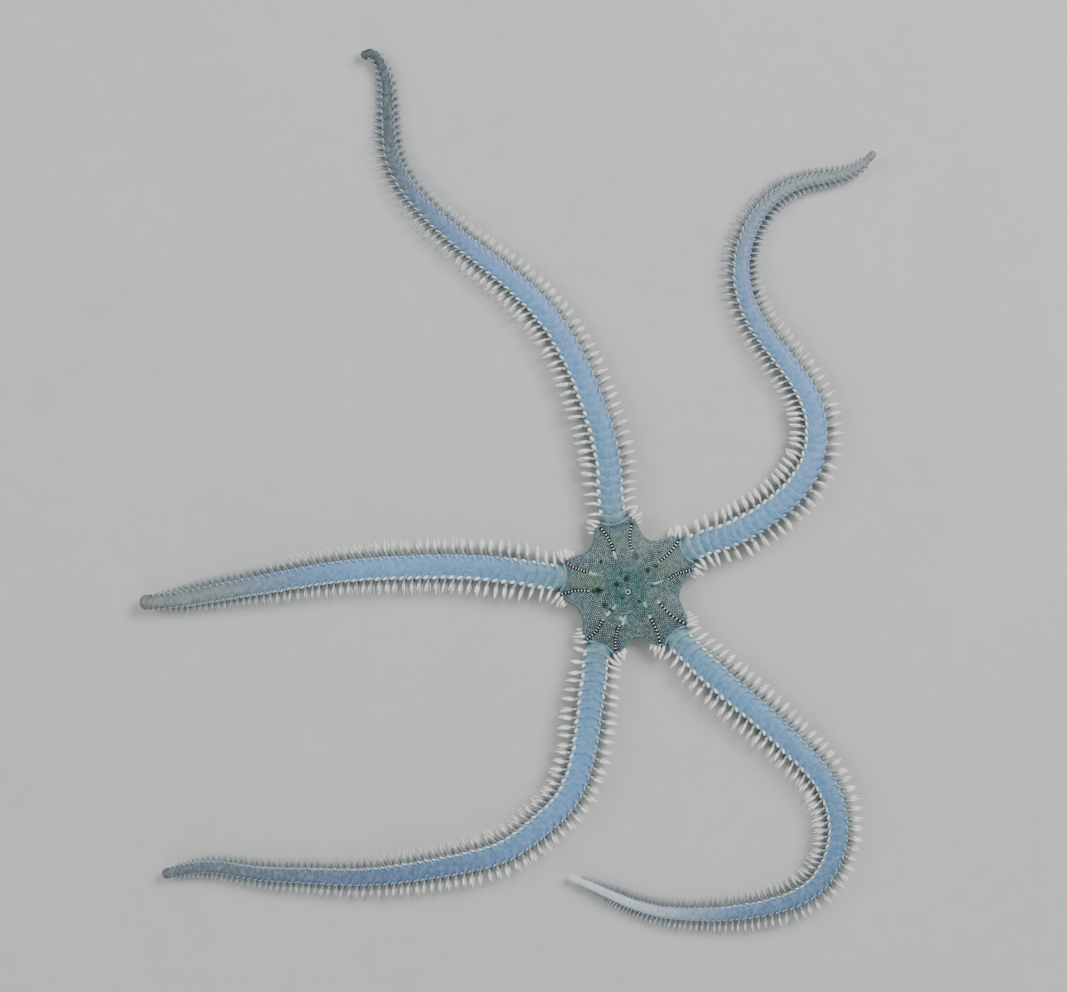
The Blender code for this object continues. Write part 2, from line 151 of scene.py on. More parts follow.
# Beaded rows on the disc: which arm, then outer and inner end as (along the arm, left of it)
BEAD_ROWS = (
    (0, (12.5, 3.0), (7.4, 1.6)),
    (0, (11.9, -3.1), (6.9, -2.0)),
    (1, (13.1, 2.7), (7.6, 1.2)),
    (1, (12.1, -3.6), (7.5, -2.8)),
    (2, (13.1, 3.0), (6.4, 2.1)),
    (2, (13.1, -3.6), (7.4, -1.2)),
    (3, (12.6, 2.9), (8.0, 1.5)),
    (3, (13.3, -3.2), (8.3, -2.0)),
    (4, (13.3, 3.3), (8.1, 1.9)),
    (4, (12.9, -3.1), (8.2, -1.9)),
)
BEADS_IN_ROW = 18
BEAD_RADIUS = 0.215
# the black and the white beads' sizes, as shares of that radius
BLACK_BEAD, WHITE_BEAD = 1.36, 0.92

# Marks painted on the disc, in mm from its centre: dark spots (x, y, radius), pale streaks end to end
DARK_SPOTS = (
    (1.2, 6.0, 0.55), (5.3, 4.1, 0.35), (3.6, 3.2, 0.42), (-0.6, 1.5, 0.45), (-6.2, -0.8, 0.60),
    (-4.8, -3.8, 0.50), (-3.6, -4.7, 0.40), (6.6, -3.5, 0.42), (5.2, -2.3, 0.28), (4.5, -6.8, 0.40),
    (-1.4, -2.3, 0.30), (-2.6, 0.4, 0.45), (4.6, 0.2, 0.35), (1.9, -3.0, 0.25),
    (-7.1, -1.0, 0.34), (-5.5, -0.6, 0.30), (-5.7, 4.9, 0.30),
)
PALE_STREAKS = (
    (-8.3, 2.9, -5.9, 2.2), (4.5, 0.4, 6.4, 1.0), (-4.5, -5.7, -2.8, -3.8), (-1.8, -6.2, -0.7, -7.2),
    (-1.3, -7.5, -0.8, -6.0), (3.0, -3.3, 3.3, -4.0), (5.7, -3.0, 6.2, -3.4), (-3.2, 6.8, -2.7, 5.6),
    (4.0, -5.9, 4.3, -6.4),
)
SHADES = ((6.0, -6.6, 3.4), (-4.4, -8.6, 2.6))
PORE = (-0.3, -1.1)
PORE_RADIUS = 0.40


# Small helpers
def unit(degrees):
    return np.array([math.cos(math.radians(degrees)), math.sin(math.radians(degrees))])


def left_of(direction):
    return np.stack([-direction[..., 1], direction[..., 0]], axis=-1)


def blend(a, b, share):
    return a + (b - a) * share


def smooth(edge0, edge1, value):
    share = np.clip((value - edge0) / (edge1 - edge0), 0, 1)
    return share * share * (3 - 2 * share)


def length_of(vectors):
    return np.linalg.norm(vectors, axis=-1)


def normalised(vectors):
    return vectors / np.linalg.norm(vectors, axis=-1, keepdims=True)


def way_along(points):
    """How far each point of a line is from its start, along the line."""
    return np.append(0, np.cumsum(length_of(np.diff(points, axis=0))))


def raised(points, height):
    """Points on the floor given a height, the same for all or one for each."""
    return np.column_stack([points, np.broadcast_to(height, len(points))])


def smooth_line(points, first_heading):
    """A cubic through the points, level in curvature at each, that starts along first_heading."""
    spans = length_of(np.diff(points, axis=0))
    count = len(points)
    system = np.zeros((count, count))
    target = np.zeros((count, 2))
    system[0, 0] = 1
    target[0] = first_heading
    for i in range(1, count - 1):
        near, far = spans[i - 1], spans[i]
        system[i, i - 1 : i + 2] = 1 / near, 2 / near + 2 / far, 1 / far
        target[i] = 3 * ((points[i] - points[i - 1]) / near**2 + (points[i + 1] - points[i]) / far**2)
    system[-1, -2:] = 1, 2
    target[-1] = 3 * (points[-1] - points[-2]) / spans[-1]
    slopes = np.linalg.solve(system, target)
    t = np.linspace(0, 1, 24, endpoint=False)[:, None]
    line = []
    for i, span in enumerate(spans):
        line.append(
            (2 * t**3 - 3 * t**2 + 1) * points[i]
            + (t**3 - 2 * t**2 + t) * span * slopes[i]
            + (3 * t**2 - 2 * t**3) * points[i + 1]
            + (t**3 - t**2) * span * slopes[i + 1]
        )
    return np.concatenate([*line, points[-1:]])


class Arm:
    """One arm's line on the floor and its sizes at distances s along it, all in mm."""

    def __init__(self, number, facts):
        self.number = number
        self.facts = facts
        out = unit(facts["angle"])
        start = CENTRE + out * (LOBE_REACH + ARM_GAP)
        line = smooth_line(np.array([start, *(CENTRE + np.array(facts["line"]))]), out)
        self.line = np.concatenate([[start - out * ROOT_INSIDE], line])
        self.distance = way_along(self.line) - ROOT_INSIDE
        self.length = self.distance[-1]
        starts = [-ROOT_INSIDE]
        while starts[-1] + self.pitch(starts[-1]) < self.length - 0.4:
            starts.append(starts[-1] + self.pitch(starts[-1]))
        self.starts = np.array(starts)

    def share(self, s):
        return np.clip(s / self.length, 0, 1)

    def pitch(self, s):
        loss, power = self.facts["loss"]
        return PLATE_PITCH * (1 - loss * self.share(s) ** power)

    def place(self, s):
        s = np.asarray(s, float)
        x = np.interp(s, self.distance, self.line[:, 0])
        y = np.interp(s, self.distance, self.line[:, 1])
        z = self.facts["lift"] * np.clip((self.share(s) - 0.86) / 0.14, 0, 1) ** 2
        return np.stack([x, y, z], axis=-1)

    def ahead(self, s):
        step = self.place(np.minimum(s + 0.2, self.length)) - self.place(s - 0.2)
        return normalised(step[..., :2])

    def half(self, s):
        narrowing = 1 - (1 - self.facts["tip"]) * self.share(s) ** TAPER_POWER
        inside = blend(0.60, 1.0, smooth(-ROOT_INSIDE, -1.0, np.asarray(s, float)))
        return ARM_WIDTH / 2 * narrowing * inside

    def height(self, s):
        return self.half(s) * 2 * HEIGHT_OVER_WIDTH

    def spine_length(self, s):
        share = self.share(s)
        growing = np.minimum(1, 0.7 + 4 * share)
        ending = smooth(1.5, 10.0, self.length - s)
        return SPINE_LENGTH * growing * (1 - 0.85 * share**3.2) * blend(0.30, 1, ending)


STAR = [Arm(i, facts) for i, facts in enumerate(ARMS)]


# The disc's outline, height and marks
def outline(steps):
    """The disc's edge from its centre, counter-clockwise, and how far each point is out on a lobe."""
    turn = sorted(ARMS, key=lambda facts: facts["angle"])
    t = np.linspace(0, 1, steps)[:, None]
    edge, lobe = [], []
    for i, facts in enumerate(turn):
        out = unit(facts["angle"])
        before, after = turn[i - 1], turn[(i + 1) % 5]
        for side, other, notch in ((-1, before, before["notch"]), (1, after, facts["notch"])):
            half_gap = math.radians((side * (other["angle"] - facts["angle"])) % 360) / 2
            first = np.array([math.cos(half_gap), math.sin(half_gap)]) * notch
            run = np.array([math.sin(half_gap), -math.cos(half_gap)]) * NOTCH_RUN
            corners = (first, first + run, np.array(LOBE_SHOULDER), np.array([LOBE_REACH, LOBE_HALF_WIDTH]))
            flank = (
                corners[0] * (1 - t) ** 3
                + corners[1] * 3 * t * (1 - t) ** 2
                + corners[2] * 3 * t**2 * (1 - t)
                + corners[3] * t**3
            )
            points = flank[:, :1] * out + flank[:, 1:] * left_of(out) * side
            if side == -1:
                edge.append(points)
                lobe.append(t[:, 0])
                across = np.linspace(-LOBE_HALF_WIDTH, LOBE_HALF_WIDTH, 12)[1:-1, None]
                edge.append(out * LOBE_REACH + left_of(out) * across)
                lobe.append(np.ones(len(across)))
            else:
                edge.append(points[::-1][:-1])
                lobe.append(t[::-1, 0][:-1])
    return np.concatenate(edge), np.concatenate(lobe)


EDGE, LOBE = outline(34)
EDGE_ANGLE = np.unwrap(np.arctan2(EDGE[:, 1], EDGE[:, 0]))


def edge_at(points):
    """For points in mm from the disc's centre: their share of the way to the edge, and the lobe share."""
    angle = np.arctan2(points[:, 1], points[:, 0])
    angle = EDGE_ANGLE[0] + (angle - EDGE_ANGLE[0]) % TURN
    ends = np.append(EDGE_ANGLE, EDGE_ANGLE[0] + TURN)
    reach = length_of(EDGE)
    radius = np.interp(angle, ends, np.append(reach, reach[0]))
    lobe = np.interp(angle, ends, np.append(LOBE, LOBE[0]))
    return length_of(points) / radius, lobe


def off_arms(points):
    """Distance along and to the left of the nearest arm's first direction, and that arm's number."""
    along = np.stack([points @ unit(arm.facts["angle"]) for arm in STAR])
    aside = np.stack([points @ left_of(unit(arm.facts["angle"])) for arm in STAR])
    nearest = np.argmin(np.where(along > 0, np.abs(aside), 99), axis=0)
    pick = np.arange(len(points))
    return along[nearest, pick], aside[nearest, pick], nearest


def disc_top(points, share, lobe):
    """Height of the disc's upper side at points in mm from its centre."""
    rim = blend(EDGE_HEIGHT, LOBE_HEIGHT, lobe)
    along, aside, _ = off_arms(points)
    swell = RIDGE_RISE * np.exp(-((aside / 2.2) ** 2)) * np.minimum(1, length_of(points) / 6)
    dip = 0.12 * np.exp(-(((np.abs(aside) - 3.0) / 0.5) ** 2)) * smooth(5, 7, along)
    dip += 0.75 * smooth(11.4, 13.9, along + 0.02 * aside**2)
    return rim + (CROWN_HEIGHT - rim) * (1 - np.minimum(share, 1) ** 2.2) + swell - dip


def wedge_mask(points):
    """1 on the smooth olive wedge over each arm's root, 0 on the grainy skin between two of them."""
    along, aside, number = off_arms(points)
    half = blend(1.0, 3.1, np.clip((along - 5.5) / 7.0, 0, 1))
    olive = np.array([facts["olive"] for facts in ARMS])[number]
    return (1 - smooth(half - 0.35, half + 0.35, np.abs(aside))) * smooth(4.2, 7.0, along) * olive


def spot_mask(points, spots):
    found = np.zeros(len(points))
    for x, y, radius in spots:
        away = np.hypot(points[:, 0] - x, points[:, 1] - y)
        found = np.maximum(found, 1 - smooth(radius * 0.7, radius * 1.75, away))
    return found


def streak_mask(points, streaks, width):
    found = np.zeros(len(points))
    for x0, y0, x1, y1 in streaks:
        a, b = np.array([x0, y0]), np.array([x1, y1])
        t = np.clip(((points - a) @ (b - a)) / ((b - a) @ (b - a)), 0, 1)
        away = length_of(points - (a + t[:, None] * (b - a)))
        found = np.maximum(found, (1 - smooth(width * 0.3, width * 1.4, away)) * (1 - 0.5 * t))
    return found


def disc_masks(points):
    """Marks of the upper side, by name, for points in mm from the disc's centre."""
    radius = length_of(points)
    return {
        "wedge": wedge_mask(points),
        "middle": 1 - smooth(1.0, 9.0, radius),
        "dark": spot_mask(points, [*DARK_SPOTS, (*PORE, 0.50)]),
        "shade": spot_mask(points, SHADES),
        "pale": streak_mask(points, PALE_STREAKS, 0.23),
    }


# Meshes
def in_scene(name, data):
    """An object for some data, linked to the scene."""
    obj = bpy.data.objects.new(name, data)
    bpy.context.scene.collection.objects.link(obj)
    return obj


def mesh_object(name, points, faces, finish, masks=None):
    """A mesh from points in mm and faces, with float attributes from the masks."""
    mesh = bpy.data.meshes.new(name)
    mesh.from_pydata((np.asarray(points) * MM).tolist(), [], faces)
    for key, values in (masks or {}).items():
        mesh.attributes.new(key, "FLOAT", "POINT").data.foreach_set("value", np.asarray(values, np.float32))
    mesh.validate()
    mesh.shade_smooth()
    mesh.materials.append(finish)
    return in_scene(name, mesh)


def grid_faces(rings, sides, cap_end=True):
    """Faces of a tube of rings, with one many-sided face at its start and, if wanted, at its end."""
    ring = np.arange(rings - 1)[:, None] * sides
    side = np.arange(sides)[None, :]
    after = (side + 1) % sides
    quads = np.stack([ring + side, ring + after, ring + sides + after, ring + sides + side], axis=-1)
    faces = [tuple(face) for face in quads.reshape(-1, 4).tolist()]
    faces.append(tuple(range(sides - 1, -1, -1)))
    if cap_end:
        faces.append(tuple(range((rings - 1) * sides, rings * sides)))
    return faces


def outward(obj):
    """Turns a closed mesh's faces outwards."""
    shape = bmesh.new()
    shape.from_mesh(obj.data)
    bmesh.ops.recalc_face_normals(shape, faces=shape.faces)
    shape.to_mesh(obj.data)
    shape.free()
    return obj


# The arms' skin
PLATE_STEPS = (0.0, 0.07, 0.17, 0.46, 0.76, 0.93)
UPPER_SIDES = 15
LOWER_SIDES = 11
ARM_SIDES = UPPER_SIDES + LOWER_SIDES
END_RINGS = 5
TOP_RELIEF = 0.07
SIDE_RELIEF = 0.74
UNDER_RELIEF = 0.05


def arm_surface(arm, s, turn, lift=0.0):
    """Points on an arm's skin: turn is 0 at its left edge, a quarter at the back, and s in mm."""
    cos, sin = np.cos(turn), np.sin(turn)
    x = np.sign(cos) * np.abs(cos) ** 0.72
    z = 0.5 + 0.5 * np.sign(sin) * np.abs(sin) ** np.where(sin > 0, 0.86, 0.62)
    half, height = arm.half(s), arm.height(s)
    shifted = np.minimum(s + SWEEP * half * np.abs(cos) ** 1.6 * smooth(-0.9, -0.1, sin), arm.length)
    count = np.interp(s, arm.starts, np.arange(len(arm.starts)))
    phase = count - np.floor(count + 1e-6)
    slim = half / (ARM_WIDTH / 2)
    top, under = smooth(0.62, 0.92, sin), smooth(0.35, 0.85, -sin)
    level = smooth(-0.35, 0.25, sin)
    near_disc = 1 + 1.6 * np.exp(-arm.share(s) / 0.06)
    rounded = np.sin(math.pi * np.clip(phase, 0, 1) ** 1.3) ** 0.7
    relief = TOP_RELIEF * near_disc * rounded * top + UNDER_RELIEF * phase * under
    relief += SIDE_RELIEF * phase**2.0 * (1 - top) * (1 - under) * blend(0.45, 1, level)
    out = relief * slim + lift
    middle = arm.place(shifted)
    left = left_of(arm.ahead(shifted))
    points = middle.copy()
    points[..., :2] += left * ((x * half * blend(0.92, 1.0, arm.share(s)) + cos * out)[..., None])
    points[..., 2] += z * height * (0.985 + 0.055 * np.exp(-((s / 1.6) ** 2))) + np.maximum(sin, 0) * out
    return points, phase


def arm_skin(arm):
    """Points, faces and masks of one arm, its root hidden in the disc."""
    plates = zip(arm.starts, arm.starts[1:])
    s = [near + (far - near) * step for near, far in plates for step in PLATE_STEPS]
    end = arm.length - arm.half(np.array(arm.length))
    s = np.array([*(v for v in s if v < end - 0.1), end])
    upper = np.arange(UPPER_SIDES) / UPPER_SIDES * math.pi
    lower = np.arange(LOWER_SIDES) / LOWER_SIDES * math.pi + math.pi
    turn = np.concatenate([upper, lower])
    grid_s, grid_turn = np.meshgrid(s, turn, indexing="ij")
    points, phase = arm_surface(arm, grid_s, grid_turn)
    # a round end of shrinking rings
    last = points[-1]
    heart = last.mean(axis=0)
    ahead = np.append(arm.ahead(np.array(end)), 0.12) * arm.half(np.array(end)) * 1.25
    bends = np.linspace(0.3, 1.5, END_RINGS)
    rings = [heart + (last - heart) * math.cos(bend) + ahead * math.sin(bend) for bend in bends]
    points = np.concatenate([points.reshape(-1, 3), *rings])
    count = len(s) + END_RINGS

    def with_end(values, end_value=0.0):
        return np.concatenate([values.reshape(-1), np.full(END_RINGS * ARM_SIDES, end_value)])

    share, facts = arm.share(grid_s), arm.facts
    masks = {
        "seam": with_end(seam_mask(phase, grid_turn, share, facts["arcs"])),
        "lip": with_end(lip_mask(phase, grid_turn, share)),
        "corner": with_end(corner_mask(phase, grid_turn)),
        "pit": with_end(pit_mask(grid_turn, phase)),
    }
    share = with_end(share, 1.0)
    cos, sin = np.cos(np.tile(turn, count)), np.sin(np.tile(turn, count))
    dusk_start, dusk = facts["dusk"]
    dusk = dusk * (1 - facts["pale"] * smooth(0.6, 0.75, share))
    shady = cos * (1 if facts["lilac"] > 0 else -1)
    middle = smooth(0.10, 0.34, share) * (1 - smooth(0.66, 0.86, share))
    masks |= {
        "along": share,
        "under": np.maximum(smooth(0.15, 0.6, -sin), with_end(grid_s < -3.0)),
        # flank: the arm's lower side, painted darker as painted shade
        "flank": 1 - smooth(-0.55, 0.10, sin),
        "warm": smooth(0.55, 0.92, share) * facts["warm"],
        "dusk": smooth(dusk_start, dusk_start + 0.35, share) * dusk,
        # the end made pale: a painted highlight
        "pale_end": smooth(0.68, 0.96, share) * facts["pale"],
        # back: a paler band along the crest near the end, a painted highlight
        "back": np.exp(-((cos / 0.4) ** 2)) * (sin > 0) * smooth(0.55, 0.90, share) * facts["warm"],
        "lilac": smooth(-0.9, 0.7, shady) * middle * abs(facts["lilac"]),
    }
    return points, grid_faces(count, ARM_SIDES), masks


def seam_mask(phase, turn, share, arcs):
    """Up to 1 in the crease where a plate dips under the next, faint on the middle of the back."""
    crease = np.maximum(1 - smooth(0.0, 0.17, phase), smooth(0.93, 1.0, phase) * 0.6)
    near_disc = 1 + 1.1 * np.exp(-share / (0.04 + 0.2 * arcs))
    on_back = 0.28 + 0.40 * np.exp(-share / arcs)
    across = on_back + (0.90 - on_back) * np.abs(np.cos(turn)) ** 1.5
    return np.minimum(0.8 * crease * across * (1 - 0.45 * share) * near_disc, 1)


def lip_mask(phase, turn, share):
    """1 on the paler far edge of each plate, clearest near the disc."""
    lip = smooth(0.45, 0.80, phase) * (1 - smooth(0.86, 0.99, phase))
    amount = 0.20 + 0.60 * np.exp(-share / 0.09)
    return lip * (0.45 + 0.55 * np.abs(np.cos(turn))) * amount * (np.sin(turn) > -0.3)


def corner_mask(phase, turn):
    """1 on the pale pointed corner of each plate, on both sides of the back."""
    side = smooth(0.62, 0.90, np.abs(np.cos(turn))) * smooth(-0.25, 0.1, np.sin(turn))
    return side * smooth(0.40, 0.80, phase)


def pit_mask(turn, phase):
    """1 in the pair of pores that each plate has underneath."""
    away = np.hypot((np.abs(np.cos(turn)) - 0.62) / 0.16, (phase - 0.5) / 0.2)
    return (1 - smooth(0.5, 1.1, away)) * (np.sin(turn) < 0)


# The disc's skin
RIM_START = blend(0.93, 0.955, LOBE)
RIM_UNDER = blend(0.93, 0.97, LOBE)
RIM_LOW = GAP_LIFT * (1 - LOBE) ** 0.5 + 0.30 * LOBE
# how many rings are on top, down the rounded edge and back in under it, and on the underside
TOP_RINGS = 64
EDGE_RINGS = (7, 6)
UNDER_RINGS = 15
# how many of the edge's rings still have the upper side's colours
EDGE_SHOWN = 9
# the mouth recess: how far each ring lies inside its lip, and its height
LIP_RADIUS = MOUTH_RADIUS + 0.12
LIP_HEIGHT = 0.32
RECESS = ((0.10, 0.45), (0.14, 1.0), (0.14, 1.6), (0.40, MOUTH_DEPTH), (2.6, MOUTH_DEPTH))


def rim_ring(turn):
    """A ring of the disc's rounded edge and its heights: turn is 0 on top and half a turn below."""
    middle = blend(EDGE_HEIGHT, LOBE_HEIGHT, LOBE) * blend(0.55, 0.72, LOBE)
    if turn > math.pi / 2:
        inner, end = RIM_UNDER, RIM_LOW
    else:
        inner, end = RIM_START, disc_top(EDGE * RIM_START[:, None], RIM_START, LOBE)
    ring = EDGE * (inner + (1 - inner) * math.sin(turn))[:, None]
    return ring, middle + (end - middle) * abs(math.cos(turn))


def disc_skin():
    """Points, faces and masks of the disc: upper side, rounded edge, underside and mouth recess."""
    rings = []
    for share in np.linspace(0.012, 1, TOP_RINGS):
        ring = EDGE * (RIM_START * share)[:, None]
        rings.append((ring, disc_top(ring, RIM_START * share, LOBE)))
    out = np.linspace(0, math.pi / 2, EDGE_RINGS[0] + 1)[1:]
    back = np.linspace(math.pi / 2, math.pi, EDGE_RINGS[1] + 1)[1:]
    rings += [rim_ring(turn) for turn in (*out, *back)]
    lip = normalised(EDGE) * LIP_RADIUS
    for share in np.linspace(0, 1, UNDER_RINGS + 1)[1:]:
        ring = blend(EDGE * RIM_UNDER[:, None], lip, share)
        rings.append((ring, blend(RIM_LOW, LIP_HEIGHT, share) + slit_depth(ring)))
    for inset, height in RECESS:
        rings.append((lip * (1 - inset / MOUTH_RADIUS), np.full(len(EDGE), height)))
    flat = np.concatenate([ring for ring, _ in rings])
    points = raised(flat + CENTRE, np.concatenate([height for _, height in rings]))
    number = np.repeat(np.arange(len(rings)), len(EDGE))
    upper = number < TOP_RINGS + EDGE_SHOWN
    masks = {name: mask * upper for name, mask in disc_masks(flat).items()}
    masks["row"] = row_mask(flat) * upper
    masks["under"] = 1.0 - upper
    masks["pit"] = np.where(upper, 0, smooth(0.05, 0.4, slit_depth(flat)))
    masks["disc"] = np.ones(len(flat))
    # the outermost top rings, where the edge turns down, get painted shade
    masks["shore"] = upper * smooth(TOP_RINGS - 3, TOP_RINGS, number)
    masks["rim"] = np.where(upper, rim_mask(flat), 0)
    return points, grid_faces(len(rings), len(EDGE)), masks


def row_mask(points):
    """1 in the dark line that each row of beads lies on, and in the small opening."""
    found = np.zeros(len(points))
    for number, outer, inner in BEAD_ROWS:
        found = np.maximum(found, 1 - smooth(0.14, 0.30, off_row(points, number, outer, inner)))
    return np.maximum(found, 1 - smooth(0.30, 0.42, off_pore(points)))


def off_pore(points):
    return np.hypot(points[:, 0] - PORE[0], points[:, 1] - PORE[1])


def off_row(points, number, outer, inner, step=1):
    """How far points are from the nearest bead of a row, or from every step-th of them."""
    beads = row_points(number, outer, inner)[::step]
    return length_of(points[:, None, :] - beads[None]).min(axis=1)


def rim_mask(points):
    """1 towards the end of each lobe, where the disc's colour runs into the arm's."""
    along, aside, _ = off_arms(points)
    return smooth(9.4, 13.2, along + 0.03 * aside**2) * (1 - smooth(3.4, 4.4, np.abs(aside)))


def slit_depth(points):
    """How far the underside is drawn in along the breathing slit on each side of an arm's root."""
    along, aside, _ = off_arms(points)
    across = np.exp(-(((np.abs(aside) - 3.05) / 0.22) ** 2))
    return 0.45 * across * smooth(6.6, 7.4, along) * (1 - smooth(11.2, 12.2, along))


def build_skin(finish):
    """The disc's and the five arms' skins joined into one closed surface."""
    points, faces, masks = disc_skin()
    body = outward(mesh_object("skin", points, faces, finish, masks))
    group = bpy.data.collections.new("arm skins")
    bpy.context.scene.collection.children.link(group)
    for arm in STAR:
        points, faces, masks = arm_skin(arm)
        piece = outward(mesh_object(f"arm_skin_{arm.number}", points, faces, finish, masks))
        bpy.context.scene.collection.objects.unlink(piece)
        group.objects.link(piece)
    union = body.modifiers.new("arms", "BOOLEAN")
    union.operation = "UNION"
    union.operand_type = "COLLECTION"
    union.collection = group
    union.solver = "MANIFOLD"
    settle(body)
    for piece in list(group.objects):
        bpy.data.objects.remove(piece)
    bpy.data.collections.remove(group)
    body.data.shade_smooth()
    body.data.set_sharp_from_angle(angle=math.radians(52))
    return body


def settle(obj):
    """Turns an object with modifiers into a plain mesh."""
    bpy.context.view_layer.update()
    evaluated = obj.evaluated_get(bpy.context.evaluated_depsgraph_get())
    mesh = bpy.data.meshes.new_from_object(evaluated)
    obj.modifiers.clear()
    obj.data = mesh
    return obj


# Geometry Nodes that set a small shape on every point
def named_nodes(tree, kinds):
    return {name: tree.nodes.new(kind) for name, kind in kinds.items()}


def wire(tree, nodes, *rows):
    """Links nodes. A row has a node and its output, then a node and its input."""
    for start, output, end, entry in rows:
        tree.links.new(nodes[start].outputs[output], nodes[end].inputs[entry])


def setting_tree():
    """A tree that puts Shape on each point, turned to aim, sized by size, then made solid."""
    tree = bpy.data.node_groups.new("set on points", "GeometryNodeTree")
    for name, kind in (("Geometry", "Geometry"), ("Shape", "Object"), ("Finish", "Material")):
        tree.interface.new_socket(name, in_out="INPUT", socket_type=f"NodeSocket{kind}")
    tree.interface.new_socket("Geometry", in_out="OUTPUT", socket_type="NodeSocketGeometry")
    nodes = named_nodes(tree, {
        "come": "NodeGroupInput",
        "leave": "NodeGroupOutput",
        "shape": "GeometryNodeObjectInfo",
        "spun": "FunctionNodeAxisAngleToRotation",
        "turned": "FunctionNodeAlignRotationToVector",
        "put": "GeometryNodeInstanceOnPoints",
        "solid": "GeometryNodeRealizeInstances",
        "paint": "GeometryNodeSetMaterial",
    })
    for name, kind in (("aim", "FLOAT_VECTOR"), ("size", "FLOAT_VECTOR"), ("spin", "FLOAT")):
        nodes[name] = tree.nodes.new("GeometryNodeInputNamedAttribute")
        nodes[name].data_type = kind
        nodes[name].inputs["Name"].default_value = name
    nodes["spun"].inputs["Axis"].default_value = (0, 0, 1)
    nodes["turned"].axis = "Z"
    wire(
        tree,
        nodes,
        ("come", "Shape", "shape", "Object"),
        ("spin", "Attribute", "spun", "Angle"),
        ("spun", "Rotation", "turned", "Rotation"),
        ("aim", "Attribute", "turned", "Vector"),
        ("come", "Geometry", "put", "Points"),
        ("shape", "Geometry", "put", "Instance"),
        ("turned", "Rotation", "put", "Rotation"),
        ("size", "Attribute", "put", "Scale"),
        ("put", "Instances", "solid", "Geometry"),
        ("solid", "Geometry", "paint", "Geometry"),
        ("come", "Finish", "paint", "Material"),
        ("paint", "Geometry", "leave", "Geometry"),
    )
    return tree


# How wide each copy's patch is on the unwrap, as a share of it
PATCH = 0.003


def values_of(data, key, width, kind=np.float32):
    """One property of all of a mesh's elements, a row for each."""
    values = np.zeros(len(data) * width, kind)
    data.foreach_get(key, values)
    return values.reshape(-1, width)


def set_shapes(name, tree, shape, finish, spots):
    """One mesh with the shape on every spot. Spots have place, aim, size, spin, root and masks."""
    if isinstance(spots, list):
        spots = {key: np.array([spot[key] for spot in spots]) for key in spots[0]}
    mesh = bpy.data.meshes.new(name)
    mesh.from_pydata((spots.pop("place") * MM).tolist(), [], [])
    for key, values in spots.items():
        values = values.astype(np.float32) * (MM if key == "size" else 1)
        kind, slot = ("FLOAT_VECTOR", "vector") if values.ndim == 2 else ("FLOAT", "value")
        mesh.attributes.new(key, kind, "POINT").data.foreach_set(slot, values.reshape(-1))
    obj = in_scene(name, mesh)
    grower = obj.modifiers.new("set", "NODES")
    grower.node_group = tree
    for item in tree.interface.items_tree:
        if item.item_type == "SOCKET" and item.in_out == "INPUT" and item.name in ("Shape", "Finish"):
            grower[item.identifier] = shape if item.name == "Shape" else finish
    settle(obj)
    mesh = obj.data
    mesh.shade_smooth()
    # each copy's patch lies at its root's place on the skin's unwrap
    unwrapped = mesh.uv_layers["OFBake"].uv
    corner = values_of(mesh.loops, "vertex_index", 1, np.int32)[:, 0]
    root = values_of(mesh.attributes["root"].data, "vector", 3)[corner, :2]
    patch = root + PATCH * (values_of(unwrapped, "vector", 2) - 0.5)
    unwrapped.foreach_set("vector", patch.reshape(-1).astype(np.float32))
    for key in ("aim", "size", "root", "spin"):
        mesh.attributes.remove(mesh.attributes[key])
    return obj


def unit_shape(name, profile, sides, ridge=0.0):
    """A closed shape one unit long on +Z, from (height, radius) pairs, kept out of the scene."""
    points = []
    for height, radius in profile[:-1]:
        for i in range(sides):
            turn = TURN * i / sides
            r = radius * (1 - ridge * (i % 2))
            points.append((r * math.cos(turn), r * math.sin(turn), height))
    tip = len(points)
    points.append((0, 0, profile[-1][0]))
    faces = grid_faces(len(profile) - 1, sides, cap_end=False)
    last = tip - sides
    faces += [(last + i, last + (i + 1) % sides, tip) for i in range(sides)]
    mesh = bpy.data.meshes.new(name)
    mesh.from_pydata(points, [], faces)
    ups = [z for _, _, z in points]
    mesh.attributes.new("up", "FLOAT", "POINT").data.foreach_set("value", ups)
    layer = mesh.uv_layers.new(name="OFBake")
    for loop in mesh.loops:
        x, y, z = points[loop.vertex_index]
        around = 0.5 + 0.45 * math.atan2(y, x) / math.pi
        layer.uv[loop.index].vector = (around, (z - ups[0]) / (ups[-1] - ups[0]))
    return bpy.data.objects.new(name, mesh)


# Spines and edge pegs, a fan on each side of every plate
SPINE_PROFILE = (
    (0.0, 0.72), (0.2, 0.80), (0.45, 1.0), (0.66, 0.95), (0.82, 0.64), (0.93, 0.30), (1.0, 0.0)
)
POINTED_PROFILE = ((0.0, 0.60), (0.20, 0.82), (0.45, 1.0), (0.66, 0.88), (0.84, 0.50), (1.0, 0.0))
PEG_PROFILE = ((-0.5, 0.7), (0.1, 0.8), (0.5, 1.0), (0.8, 0.75), (1.0, 0.0))
# rise and extra lean in degrees, share of the full length, place up the side in turns, width in mm,
# place on the plate
FAN = (
    (38, 5.0, 0.42, 0.090, 0.24, 0.78),
    (27, 4.5, 0.87, 0.070, 0.30, 0.84),
    (11, 0.0, 1.00, 0.030, 0.31, 0.73),
    (-3, -4.5, 0.93, -0.020, 0.30, 0.62),
)
# a spine that rises more steeply than this is painted darker, as painted shade
STEEP = 35
PEG = (12, 60, 1.00, 0.100, 0.27, 0.80)


# Fans stand from a little inside a lobe's end to a little before the arm's end, in mm, and lean along
# the arm by an angle in degrees. The spines nearest the disc are pointed ones.
FIRST_FAN = -1.6
BARE_END = 2.6
FAN_LEAN = 9
POINTED_UP_TO = 8


